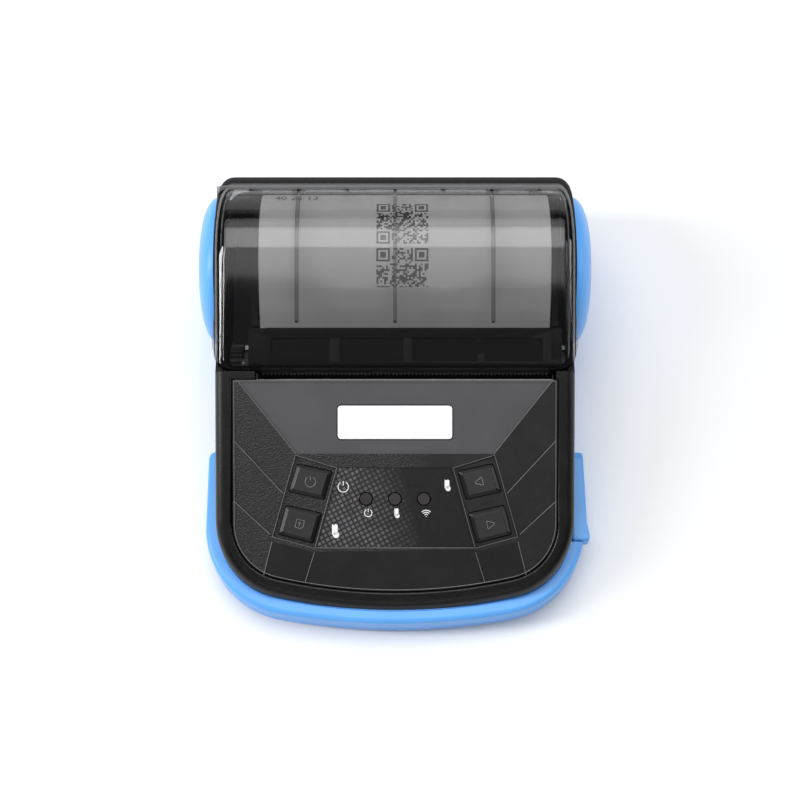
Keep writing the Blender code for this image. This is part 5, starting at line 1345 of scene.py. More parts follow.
@dataclass
class FacePanel(SubAssembly):
    """The folded panel in its recess, with the pockets, lamp holes and seats cut into it."""

    drop: float = 0.0003
    thickness: float = 0.0016
    pocket_depth: float = 0.0008
    band_depth: float = 0.0004
    fold: float = 0.035
    lamp: Point = (0.0078, 0.44)
    lamp_radius: float = 0.0016
    label_size: Point = (0.0308, 0.009)
    label_share: float = 0.8
    sheet: float = 0.0003
    label_sheet: float = 0.0004
    label_corner: float = 0.0009
    label_edge: float = 0.00012
    lamp_depth: float = 0.0054
    mark_bead: float = 0.00013
    crease_bead: float = 0.0001
    pocket: tuple[Point, ...] = ((0.61, 0.646), (0.357, 0.586), (0.492, 0.208), (0.752, 0.262))
    upper_key: tuple[Point, ...] = ((0.597, 0.604), (0.387, 0.569), (0.437, 0.438), (0.651, 0.475))
    lower_key: tuple[Point, ...] = ((0.667, 0.408), (0.451, 0.371), (0.503, 0.232), (0.715, 0.274))
    band: tuple[Point, ...] = ((0.968, 1.0), (0.606, 0.652))
    film: tuple[Point, ...] = ((0.345, 0.588), (0.482, 0.21))
    creases: tuple[tuple[Point, ...], ...] = (
        ((0.606, 0.652), (0.968, 1.0)), ((0.688, 0.468), (0.986, 0.715)), ((0.766, 0.274), (0.984, 0.428)),
        ((0.754, 0.24), (0.812, 0.062)), ((0.494, 0.19), (0.552, 0.046)),
    )

    def facets(self) -> list[tuple[Outline, Point, Point, float]]:
        """Return each facet's outline, the two ends of its high line and its fall, all as shares."""
        return [
            ([(1.04, 1.07), (0.968, 1.0), (0.606, 0.652), (0.612, 0.64), (0.688, 0.468), (0.986, 0.715),
              (1.04, 0.76)], (0.606, 0.652), (0.968, 1.0), self.fold),
            ([(1.04, 0.76), (0.986, 0.715), (0.688, 0.468), (0.756, 0.262), (0.766, 0.274), (0.984, 0.428),
              (1.04, 0.468)], (0.688, 0.468), (0.986, 0.715), self.fold),
            ([(1.04, 0.468), (0.984, 0.428), (0.766, 0.274), (0.754, 0.24), (0.795, 0.102), (0.84, -0.06),
              (1.04, -0.06)], (0.766, 0.274), (0.984, 0.428), self.fold),
            ([(0.754, 0.24), (0.795, 0.102), (0.84, -0.06), (0.56, -0.06), (0.526, 0.065), (0.494, 0.19)],
             (0.494, 0.19), (0.754, 0.24), self.fold * 0.8),
        ]

    def tilted(self, outline: Outline, start: Point, end: Point, fall: float) -> Piece:
        """Return the cutter of a facet that falls away from a line through two places."""
        along = (Vector(end) - Vector(start)).normalized()
        square = Vector((-along.y, along.x))
        count = len(outline)
        reach = [abs((Vector(p) - Vector(start)).dot(square)) for p in outline]
        low = [(x, y, -self.drop - WELD * 9 - fall * r) for (x, y), r in zip(outline, reach)]
        high = [(x, y, OVER) for x, y in outline]
        faces = [tuple(range(count)), tuple(range(count, 2 * count))]
        faces += [(i, (i + 1) % count, (i + 1) % count + count, i + count) for i in range(count)]
        piece = Bench.from_points(low + high, faces)
        Bench.edit(piece)
        bpy.ops.mesh.normals_make_consistent(inside=False)
        Bench.done()
        return Bench.settle(piece, LAY.panel)

    def band_outline(self) -> Outline:
        """Return the outline of the smooth upper field."""
        right, left = LAY.on_panel(self.band), LAY.on_panel(self.band, -1)
        return [(left[0][0], left[0][1] + OVER), left[0], left[1], right[1], right[0],
                (right[0][0], right[0][1] + OVER)]

    def film_outline(self, inset: float) -> Outline:
        """Return the outline of the film between the keys."""
        right, left = LAY.on_panel(self.film), LAY.on_panel(self.film, -1)
        return offset([left[0], left[1], right[1], right[0]], -inset)

    def lamp_spots(self) -> list[Point]:
        """Return the places of the three lamps."""
        return [(place * self.lamp[0], self.lamp[1] * LAY.panel_length) for place in (-1, 0, 1)]

    def label_outline(self, margin: float) -> Outline:
        """Return the white plate's outline, or one a margin wider."""
        centre = self.label_share * LAY.panel_length
        half_x, half_y = self.label_size[0] / 2 + margin, self.label_size[1] / 2 + margin
        corners = box_outline((-half_x, centre - half_y), (half_x, centre + half_y))
        return rounded(corners, self.label_corner + margin, 6)

    def keys(self) -> dict[str, Outline]:
        """Return each key's outline."""
        return {
            "power": LAY.on_panel(self.upper_key, -1),
            "feed": LAY.on_panel(self.lower_key, -1),
            "back": LAY.on_panel(self.upper_key),
            "forward": LAY.on_panel(self.lower_key),
        }

    def build(self) -> None:
        """Build the panel, its film, plate and lamps, and dress them."""
        holes = [rounded(offset(key, GAP * 0.7), GAP * 2, 3) for key in self.keys().values()]
        holes += [ring(spot, self.lamp_radius + GAP, 32) for spot in self.lamp_spots()]
        outline = PANEL_PLAN.outline(GAP)
        panel = Bench.prism(outline, -self.drop - self.thickness, -self.drop, LAY.panel, holes)
        for side in (-1, 1):
            for shares, start, end, fall in self.facets():
                ends = LAY.on_panel((start, end), side)
                Bench.cut(panel, self.tilted(LAY.on_panel(shares, side), *ends, fall))
            pocket = LAY.on_panel(self.pocket, side)
            Bench.cut(panel, Bench.prism(pocket, -self.drop - self.pocket_depth, OVER, LAY.panel))
        low = -self.drop - self.band_depth
        Bench.cut(panel, Bench.prism(self.band_outline(), low, OVER, LAY.panel))
        seat = low - self.sheet / 2 - GAP
        Bench.cut(panel, Bench.prism(self.film_outline(0.0), seat, OVER, LAY.panel))
        seat = low - self.label_sheet / 2 - GAP
        Bench.cut(panel, Bench.prism(self.label_outline(GAP), seat, OVER, LAY.panel))
        Bench.paint(panel, Look.GRAINED, Look.FIELD, Look.SMOOTH)
        back = LAY.panel.inverted()
        turn = back.to_3x3()

        def in_band(centre: Vector, normal: Vector) -> bool:
            """Tell whether a face lies in the smooth upper field."""
            place, facing = back @ centre, turn @ normal
            return facing.z > 0.999 and abs(place.z - low) < GAP / 3 and place.y > 0.5 * LAY.panel_length

        def in_front(centre: Vector, normal: Vector) -> bool:
            """Tell whether a face lies in the front field."""
            place, facing = back @ centre, turn @ normal
            near = place.y < 0.2 * LAY.panel_length and abs(place.x) < 0.78 * LAY.panel_half
            return facing.z > 0.9 and near

        # The upper field takes the lighter grey of its painted sheen.
        Bench.patch(panel, 1, in_band)
        Bench.patch(panel, 2, in_front)
        labels = ("folded_panel", "panel_plastic", "face_panel")
        Bench.finish(panel, *labels, angle=math.radians(1))
        self._creases()
        self._film(low)
        self._plate(low)

    def _creases(self) -> None:
        """Draw the ridges along the panel's edge and between its fields, coloured light as their painted
        highlight.
        """
        marks = Marks(-self.drop, self.crease_bead)
        lines = [marks.line(PANEL_PLAN.outline(GAP * 2.2), True)]
        for side in (-1, 1):
            lines += [marks.line(LAY.on_panel(shares, side)) for shares in self.creases]
            lines.append(marks.line(LAY.on_panel(self.pocket, side), True))
        bottom = LAY.on_panel([self.film[1]])[0]
        lines.append(marks.line([(-bottom[0], bottom[1]), bottom]))
        ridge = Bench.join(lines)
        Bench.dress(ridge, Look.CREASE, "panel_creases", "panel_plastic")

    def _film(self, low: float) -> None:
        """Build the film with its lamp windows, its marks and the lamps under it."""
        base = low - self.sheet / 2
        top = base + self.sheet
        holes = [ring(spot, self.lamp_radius + GAP, 40) for spot in self.lamp_spots()]
        film = Bench.prism(self.film_outline(GAP / 2), base, top, LAY.panel, holes)
        Bench.dress(film, Look.FILM, "panel_film", "overlay_film", "overlay_sheet")
        for name, spot in zip(("left", "middle", "right"), self.lamp_spots()):
            frame = LAY.panel @ Matrix.Translation((*spot, 0))
            radius, foot = self.lamp_radius, GAP - self.lamp_depth
            profile = [(0.0, foot), (radius, foot), (radius, top - 0.0001),
                       (radius - 0.0001, top), (0.0, top)]
            lamp = Bench.lathe(profile, frame, 48)
            Bench.dress(lamp, Look.LAMP, f"lamp_{name}", "lamp_lens", f"led_{name}")
        marks, length = Marks(top + 0.00002, self.mark_bead), LAY.panel_length
        white = Bench.join([
            piece for draw, (x, share), size in (
                (marks.power, (-0.0139, 0.497), 0.0014), (marks.leaf, (0.014, 0.505), 0.0014),
                (marks.leaf, (-0.0162, 0.29), 0.0017), (marks.power, (-0.0072, 0.374), 0.001),
                (marks.leaf, (0.0004, 0.374), 0.0012), (marks.waves, (0.0084, 0.366), 0.0012),
            ) for piece in draw((x, share * length), size)
        ])
        Bench.dress(white, Look.MARK, "film_marks", "label_film")

    def _plate(self, low: float) -> None:
        """Build the blank white plate."""
        base = low - self.label_sheet / 2
        outline = self.label_outline(0.0)
        top = base + self.label_sheet
        edge = self.label_edge
        loops = [(outline, base), (outline, top - edge), (offset(outline, -edge * 0.3), top - edge * 0.3),
                 (offset(outline, -edge), top)]
        plate = loft(loops, LAY.panel)
        Bench.dress(plate, Look.LABEL, "white_plate", "label_film", "label_plate")


def loft(loops: Sequence[tuple[Outline, float]], frame: Matrix = FLAT) -> Piece:
    """Return a closed skin over outlines of as many points each, with both ends filled.

    Args:
        loops: Outlines with their heights, from one end to the other.
        frame: The frame that they are drawn in.

    Returns:
        The piece.
    """
    count = len(loops[0][0])
    points = [(x, y, z) for outline, z in loops for x, y in outline]
    faces: list[tuple[int, ...]] = [tuple(range(count))]
    faces.append(tuple(range((len(loops) - 1) * count, len(loops) * count)))
    for level in range(len(loops) - 1):
        base = level * count
        faces += [(base + i, base + (i + 1) % count, base + (i + 1) % count + count, base + i + count)
                  for i in range(count)]
    piece = Bench.from_points(points, faces)
    Bench.edit(piece)
    bpy.ops.mesh.normals_make_consistent(inside=False)
    Bench.done()
    return Bench.settle(piece, frame)


@dataclass
class Marks:
    """Thin symbols drawn as fine beads on a level of the panel."""

    level: float
    bead: float

    def line(self, places: Sequence[Point], closed: bool = False) -> Piece:
        """Return one bead through some places of the panel."""
        points = [(x, y, self.level) for x, y in places]
        return Bench.tube(points, self.bead, LAY.panel, closed)

    def power(self, centre: Point, size: float) -> list[Piece]:
        """Return an open ring with a bar in its gap."""
        x, y = centre
        gap = math.radians(32)
        circle = arc(centre, size, math.pi / 2 + gap, 2.5 * math.pi - gap, 28)
        return [self.line(circle), self.line([(x, y + size * 0.25), (x, y + size * 1.15)])]

    @staticmethod
    def turned(shape: Outline, centre: Point, size: float, lean: float) -> Outline:
        """Return a shape of unit size, sized, turned and moved to its place."""
        (x, y), cos, sin = centre, math.cos(lean), math.sin(lean)
        return [(x + size * (a * cos - b * sin), y + size * (a * sin + b * cos)) for a, b in shape]

    def sheet_of_paper(self, centre: Point, size: float, lean: float) -> list[Piece]:
        """Return a page with a curled foot and an arrow."""
        page = [(-0.75, -0.7), (-0.75, 0.9), (0.75, 0.9), (0.75, -0.3), (0.35, -0.75), (-0.75, -0.7)]
        arrow = [(-0.3, 0.15), (0.0, 0.5), (0.3, 0.15)]
        stem = [(0.0, 0.45), (0.0, -0.35)]
        return [self.line(self.turned(shape, centre, size, lean)) for shape in (page, arrow, stem)]

    def leaf(self, centre: Point, size: float) -> list[Piece]:
        """Return a solid leaf of paper that leaves a roll."""
        x, y = centre
        leaf = [(-0.45, -0.6), (-0.45, 1.1), (-0.15, 0.9), (0.15, 1.1), (0.45, 0.9), (0.45, -0.6)]
        blade = [(x + size * a, y + size * b) for a, b in leaf]
        shapes = [blade, ring((x + size * 0.2, y - size * 0.65), size * 0.5, 20)]
        return [Bench.prism(shape, self.level, self.level + self.bead / 4, LAY.panel) for shape in shapes]

    def waves(self, centre: Point, size: float) -> list[Piece]:
        """Return three arcs over a dot."""
        x, y = centre
        low, spread = y - size * 0.4, (math.radians(45), math.radians(135))
        rows = [arc((x, low), size * reach, *spread, 10) for reach in (0.5, 0.95, 1.4)]
        dot = [(x - size * 0.08, low), (x + size * 0.08, low)]
        return [self.line(row) for row in rows] + [self.line(dot)]

    def triangle(self, centre: Point, size: float, lean: float) -> list[Piece]:
        """Return a pointer in outline."""
        corners = self.turned([(1.0, 0.0), (-0.6, 0.85), (-0.6, -0.85)], centre, size, lean)
        return [self.line(rounded(corners, size * 0.16, 3), True)]


@dataclass
class Keys(SubAssembly):
    """The four keys with sloping borders and embossed symbols."""

    panel: FacePanel
    border: float = 0.0009
    lift: float = 0.00035
    corner: float = 0.0005
    flange: float = 0.0006
    flange_thickness: float = 0.0005
    stem: Point = (0.0008, 0.0019)
    knee: float = 0.00025
    edge: float = 0.0001
    top_corner: float = 0.0003
    symbol: float = 0.0014
    symbol_bead: float = 0.00011
    symbol_lean: float = math.radians(14)

    def build(self) -> None:
        """Build the keys and dress them."""
        top_of_panel = -self.panel.drop
        under = top_of_panel - self.panel.thickness - GAP
        low = under - self.flange_thickness
        for name, outline in self.panel.keys().items():
            centre = sum((Vector(p) for p in outline), Vector((0, 0))) / len(outline)
            def cap_loop(inset: float, corner: float) -> Outline:
                """Return the key's outline at an inset, with round corners."""
                return rounded(offset(outline, -inset), corner, 4)

            crown = top_of_panel + self.lift
            knee = top_of_panel - self.knee
            loops = [
                (cap_loop(-self.flange, self.corner), low), (cap_loop(-self.flange, self.corner), under),
                (cap_loop(0.0, self.corner), under + WELD * 20), (cap_loop(0.0, self.corner), knee - self.edge),
                (cap_loop(self.edge, self.corner), knee),
                (cap_loop(self.border, self.top_corner), crown - 0.00006),
                (cap_loop(self.border + 0.00012, self.top_corner), crown),
            ]
            cap = loft(loops, LAY.panel)
            spot = LAY.panel @ Matrix.Translation((centre.x, centre.y, 0))
            Bench.fuse(cap, Bench.rod(self.stem[0], low - self.stem[1], low + 2 * self.edge, spot, 24))
            # Painted light: the key's upward face takes a lighter copy of the key plastic than its sloping
            # border.
            Bench.paint(cap, Look.KEY, Look.KEY_TOP)
            Bench.patch(cap, 1, self._on_face(crown))
            body = f"{name}_key"
            Bench.finish(cap, f"{name}_key_cap", "key_plastic", f"{name}_button", body=body)
            marks = Marks(crown + 0.00001, self.symbol_bead)
            symbol = self._symbol(name, marks, tuple(centre))
            # The embossed symbol takes the same light grey, a painted highlight on its raised lines.
            Bench.dress(symbol, Look.CREASE, f"{name}_key_symbol", "key_plastic", body=body)

    def _on_face(self, crown: float) -> Callable[[Vector, Vector], bool]:
        """Return the test for a cap's flat face at a height over the panel."""
        back = LAY.panel.inverted()
        turn, low = back.to_3x3(), crown - 0.00002
        return lambda centre, normal: (back @ centre).z > low and (turn @ normal).z > 0.99

    def _symbol(self, name: str, marks: Marks, centre: Point) -> Piece:
        """Return a key's embossed symbol."""
        size, lean = self.symbol, self.symbol_lean
        if name == "power":
            return Bench.join(marks.power(centre, size))
        if name == "feed":
            return Bench.join(marks.sheet_of_paper(centre, size, -lean))
        return Bench.join(marks.triangle(centre, size, lean + (math.pi if name == "back" else 0.0)))


@dataclass
class PaperCover(SubAssembly):
    """The smoked clear dome with ribs, tabs, finger grips and hinge lugs."""

    wall: float = 0.0016
    crown: float = 0.004
    front_corner: float = 0.0062
    rear_corner: float = 0.004
    rib: float = 0.001
    rib_height: float = 0.0012
    tab_from: float = math.radians(34)
    tab_to: float = math.radians(52)
    rib_front: float = 0.0135
    steps: int = 72
    skirt: float = 0.0229
    knee: float = 0.0572
    grip: float = 0.00062
    grip_low: Point = (0.007, 0.0315)
    grip_high: Point = (0.025, 0.035)

    def tangent(self) -> float:
        """Return the angle about the roll at which the dome ends in its straight front."""
        towards = Vector((LAY.cover_front - LAY.roll_y, LAY.panel_z(LAY.cover_front) - LAY.roll_z))
        return math.atan2(towards.y, towards.x) - math.acos(LAY.dome / towards.length)

    def line(self, inset: float, rear: float, front: float) -> Outline:
        """Return the cover's outline in Y and Z from its rear edge over the dome to its front."""
        centre, tangent = Vector((LAY.roll_y, LAY.roll_z)), self.tangent()
        points = arc(tuple(centre), LAY.dome - inset, rear, tangent, self.steps)
        fall = Vector((-math.sin(tangent), math.cos(tangent)))
        run = (points[-1][0] - front) / -fall.x
        points.append((front, points[-1][1] + fall.y * run))
        return points

    def _body(self, inset: float, front: float) -> Piece:
        """Return the dome's solid or the hollow inside it, both longer below than the cover."""
        line = self.line(inset, 0.0, front)
        drop = 2 * OVER
        knee = self.knee + 2 * GAP - drop
        outline = [(LAY.roll_y + LAY.dome - inset, self.skirt - drop)] + line
        outline += [(y, LAY.side_z(y) - drop) for y in (front, knee)] + [(knee, self.skirt - drop)]
        half = LAY.cover_half - inset
        piece = Bench.prism(outline, -half, half, ACROSS)
        places = {(round(y, 6), round(z, 6)) for y, z in line}

        def on_crown(first: Vector, second: Vector) -> bool:
            """Tell whether an edge runs along the dome's crown."""
            return abs(first.x - second.x) < WELD and all(
                (round(p.y, 6), round(p.z, 6)) in places for p in (first, second)
            )

        Bench.round_edges(piece, self.crown - inset, 6, on_crown)
        front_y, rear_y = (front, LAY.roll_y + LAY.dome - inset)
        corner, spare = self.front_corner - inset, GAP / 10
        right = arc((half + spare - corner, front_y - spare + corner), corner, -math.pi / 2, 0, 10)
        corner = self.rear_corner - inset
        right += arc((half + spare - corner, rear_y + spare - corner), corner, 0, math.pi / 2, 8)
        plan = right + [(-x, y) for x, y in reversed(right)]
        return Bench.combine(piece, Op.COMMON, Bench.prism(plan, 0.0, 0.08))

    def _below(self) -> Piece:
        """Return the room below the cover's edge: under its sides and under its rear skirt."""
        front, rear, low = LAY.cover_front - OVER, LAY.half_length + OVER, -2 * OVER
        knee = self.knee + 2 * GAP
        outline = [(front, low), (rear, low), (rear, self.skirt), (knee, self.skirt)]
        outline += [(y, LAY.side_z(y)) for y in (knee, front)]
        return Bench.prism(outline, *THROUGH)

    def build(self) -> None:
        """Build the cover and dress it."""
        cover = self._body(0.0, LAY.cover_front)
        Bench.cut(cover, self._body(self.wall, LAY.cover_front + self.wall), self._below())
        swing = LAY.barrel + 2 * GAP
        wall_y = LAY.roll_y + LAY.dome - self.wall
        for side in (-1, 1):
            reach = LAY.lug_reach + GAP
            ends = span(side, LAY.lug_centre - reach, LAY.lug_centre + reach)
            Bench.cut(cover, Bench.rod(swing, *ends, hinge_frame(), 48))
            low, high = side * LAY.lug_centre - LAY.lug_width / 2, side * LAY.lug_centre + LAY.lug_width / 2
            Bench.fuse(cover, *barrel(low, high, (wall_y + GAP, wall_y + self.wall - GAP),
                                      (LAY.hinge_z, LAY.hinge_z + swing + self.wall)))
            Bench.cut(cover, Bench.rod(LAY.pin + GAP, low - GAP, high + GAP, hinge_frame(), 24))
        for index in (-1, 0, 1):
            self._strip(cover, index * LAY.rib_pitch, self.tab_from, self.rib_front, True)
        for index in (-3, -1, 1, 3):
            self._strip(cover, index * LAY.rib_pitch / 2, self.tab_from, self.tab_to, False)
        Bench.paint(cover, Look.SMOKED, Look.SMOKED_RIB)
        Bench.patch(cover, 1, self._on_rib)
        Bench.finish(cover, "smoked_dome", "smoked_cover", "paper_cover", body="cover")
        self._grips()

    def _on_rib(self, centre: Vector, normal: Vector) -> bool:
        """Return whether a face is on one of the ribs or tabs inside the dome."""
        place, turn = Vector((centre.y - LAY.roll_y, centre.z - LAY.roll_z)), self.tangent()
        out, fall = Vector((math.cos(turn), math.sin(turn))), Vector((-math.sin(turn), math.cos(turn)))
        reach = place.dot(out) if place.dot(fall) > 0 else place.length
        near = any(abs(centre.x - i * LAY.rib_pitch / 2) < self.rib * 0.6 for i in range(-3, 4))
        return near and (abs(normal.x) > 0.9 or reach < LAY.dome - self.wall - self.rib_height / 2)

    def _strip(self, cover: Piece, x: float, rear: float, front: float, whole: bool) -> None:
        """Add a rib along the dome's inner face."""
        root, crest = self.wall / 2, self.wall + self.rib_height
        if whole:
            outline = self.line(root, rear, front) + list(reversed(self.line(crest, rear, front)))
        else:
            centre = (LAY.roll_y, LAY.roll_z)
            outline = arc(centre, LAY.dome - root, rear, front, 12)
            outline += arc(centre, LAY.dome - crest, front, rear, 12)
        Bench.fuse(cover, Bench.prism(outline, x - self.rib / 2, x + self.rib / 2, ACROSS))

    def _grips(self) -> None:
        """Add the finger grips low on both sides."""
        y0, (y1, z1) = self.grip_low[0], self.grip_high
        for side in (-1, 1):
            inner = side * LAY.cover_half
            outer = side * (LAY.cover_half + self.grip)
            edge = side * (LAY.cover_half + self.grip * 0.35)
            plan = [(inner, y0), (edge, y0), (outer, y0 + 0.0015), (outer, y0 + 0.009), (edge, y1 - 0.002),
                    (inner, y1)]
            grip = Bench.prism(plan, LAY.side_z(y1) + 0.0006, z1)
            floor = [(y0 - OVER, LAY.side_z(y0 - OVER) + 0.0004), (y1 + OVER, LAY.side_z(y1 + OVER) + 0.0004),
                     (y1 + OVER, z1 + OVER), (y0 - OVER, z1 + OVER)]
            Bench.combine(grip, Op.COMMON, Bench.prism(floor, *THROUGH))
            Bench.soften(grip, 0.0002, 2)
            name = f"finger_grip_{'left' if side < 0 else 'right'}"
            Bench.dress(grip, Look.SMOKED, name, "smoked_cover", body="cover")


@dataclass
class PaperSupply(SubAssembly):
    """The paper roll on its card core, the web under the platen and the trough."""

    core: float = 0.0065
    core_wall: float = 0.001
    paper: float = 0.00015
    platen: Point = (0.0054, 0.0294)
    platen_radius: float = 0.0052
    bucket_radius: float = 0.0199
    bucket_z: float = 0.0266
    bucket_wall: float = 0.0016
    bucket_left: float = -0.03805
    bucket_right: float = 0.04345
    bucket_rise: float = 0.004
    bucket_rear: float = math.radians(20)
    screw: Point = (0.031, 0.0555)
    leaf_top: float = 0.0325
    liner_front: float = 0.0142
    liner_low: float = 0.0132
    liner_high: float = 0.0142
    edge: float = 0.00018
    core_play: float = 0.00012
    rib_pitch: float = 0.0265
    rib_half: float = 0.001
    rib_reach: float = 0.00995
    boss: float = 0.0032
    ink: float = 0.00013
    tall: float = 1.25
    rows: tuple[tuple[str, float, Point], ...] = (
        ("40 25 13", 0.0149, (-0.0334, -0.0214)), ("1024 768 512", 0.0534, (-0.0344, -0.0124)),
        ("0123456789 9876543210 0246813579", 0.0575, (-0.0327, 0.0373)),
    )

    def build(self) -> None:
        """Build the roll, core, web and trough and dress them."""
        frame = axle(LAY.roll_y, LAY.roll_z)
        left, right, radius = LAY.roll_left, LAY.roll_right, LAY.roll_radius
        bore, edge = self.core + self.core_play, self.edge
        roll = Bench.lathe(drum(bore, radius, left, right, edge), frame, 160, True)
        Bench.dress(roll, Look.ROLL, "wound_paper", "paper", "paper_roll", body="roll")
        inner = self.core - self.core_wall
        profile = [(inner, left + edge), (inner + edge, left), (self.core, left), (self.core, right),
                   (inner + edge, right), (inner, right - edge)]
        core = Bench.lathe(profile, frame, 96, True)
        Bench.dress(core, Look.CARD, "card_core", "core_card", "roll_core", body="roll")
        outline = self.web_line(True) + list(reversed(self.web_line(False)))
        web = Bench.prism(outline, left, right, ACROSS)
        Bench.dress(web, Look.WEB, "paper_leaf", "paper", "paper_web")
        self._trough()
        self._liner()
        self._digits()

    def _liner(self) -> None:
        """Build the black ledge that closes the case round the trough."""
        wall = LAY.case_half - LAY.wall - GAP
        rear = LAY.half_length - LAY.wall - GAP
        left, right = self.bucket_left - self.bucket_wall, self.bucket_right + self.bucket_wall
        outline = rounded(box_outline((-wall, self.liner_front), (wall, rear)), 0.003, 5)
        outer = self.bucket_radius + self.bucket_wall
        half = math.sqrt(outer**2 - (self.bucket_z - self.liner_high) ** 2)
        hole = box_outline((left - GAP, LAY.roll_y - half - GAP), (right + GAP, LAY.roll_y + half + GAP))
        ledge = Bench.prism(outline, self.liner_low, self.liner_high, holes=[hole])
        Bench.soften(ledge, 0.00015, 2)
        Bench.dress(ledge, Look.INNER, "trough_ledge", "black_plastic")

    def _digits(self) -> None:
        """Print rows of plain digits round the roll."""
        radius = LAY.roll_radius + self.ink
        rows = []
        for words, along, (left, right) in self.rows:
            bpy.ops.object.select_all(action="DESELECT")
            bpy.ops.object.text_add(location=(0, 0, 0))
            row = bpy.context.object
            row.data.body = words
            bpy.ops.object.convert(target="MESH")
            row = bpy.context.object
            places = [vertex.co for vertex in row.data.vertices]
            start, end = min(p.x for p in places), max(p.x for p in places)
            middle = (min(p.y for p in places) + max(p.y for p in places)) / 2
            scale = (right - left) / (end - start)
            for place in places:
                turn = (along - (place.y - middle) * scale * self.tall) / LAY.roll_radius
                x = left + (place.x - start) * scale
                place.xyz = (x, LAY.roll_y + radius * math.cos(turn), LAY.roll_z + radius * math.sin(turn))
            rows.append(row)
        digits = Bench.join(rows)
        Bench.dress(digits, Look.INK, "printed_digits", "paper", body="roll")

    def web_line(self, side_out: bool) -> Outline:
        """Return one face of the web: off the roll, under the platen and up into the exit."""
        roll, platen = Vector((LAY.roll_y, LAY.roll_z)), Vector(self.platen)
        roll_radius = LAY.roll_radius + GAP + (self.paper if side_out else 0.0)
        platen_radius = self.platen_radius + GAP + (0.0 if side_out else self.paper)
        between = platen - roll
        turn = math.atan2(between.y, between.x) - math.acos((roll_radius + platen_radius) / between.length)
        points = [tuple(roll + roll_radius * Vector((math.cos(turn), math.sin(turn))))]
        points += arc(self.platen, platen_radius, turn - math.pi, -math.pi, 24)
        points.append((points[-1][0], self.leaf_top))
        return points

    def _trough(self) -> None:
        """Build the trough with its end walls, ribs and screw bosses."""
        outer = self.bucket_radius + self.bucket_wall
        centre = (LAY.roll_y, self.bucket_z)
        lift = math.asin(self.bucket_rise / outer)
        outline = arc(centre, outer, -math.pi - lift, -self.bucket_rear, 48)
        outline.append((LAY.roll_y + outer * 0.7, self.bucket_z + self.bucket_rise))
        left, right = self.bucket_left - self.bucket_wall, self.bucket_right + self.bucket_wall
        trough = Bench.prism(outline, left, right, ACROSS)
        for index in (-1, 0, 1):
            x = LAY.roll_middle + index * self.rib_pitch
            top = self.bucket_z - self.bucket_radius - self.bucket_wall / 2
            low = (x - self.rib_half, LAY.roll_y - self.rib_reach, LAY.floor + GAP)
            high = (x + self.rib_half, LAY.roll_y + self.rib_reach, top)
            Bench.fuse(trough, Bench.block(low, high))
        for side in (-1, 1):
            spot = Matrix.Translation((side * self.screw[0], self.screw[1], 0))
            drop = math.sqrt(outer**2 - (self.screw[1] - LAY.roll_y) ** 2)
            top = self.bucket_z - drop + self.boss
            Bench.fuse(trough, Bench.rod(self.boss, LAY.floor + GAP, top, spot, 32))
            Bench.cut(trough, Bench.rod(LAY.bore, -OVER, LAY.bore_top, spot, 24))
        frame = axle(*centre)
        hollow = Bench.rod(self.bucket_radius, self.bucket_left, self.bucket_right, frame, 128)
        Bench.cut(trough, hollow)
        Bench.soften(trough, 0.00015, 2, 60)
        Bench.dress(trough, Look.INNER, "roll_trough", "black_plastic", "paper_bucket")


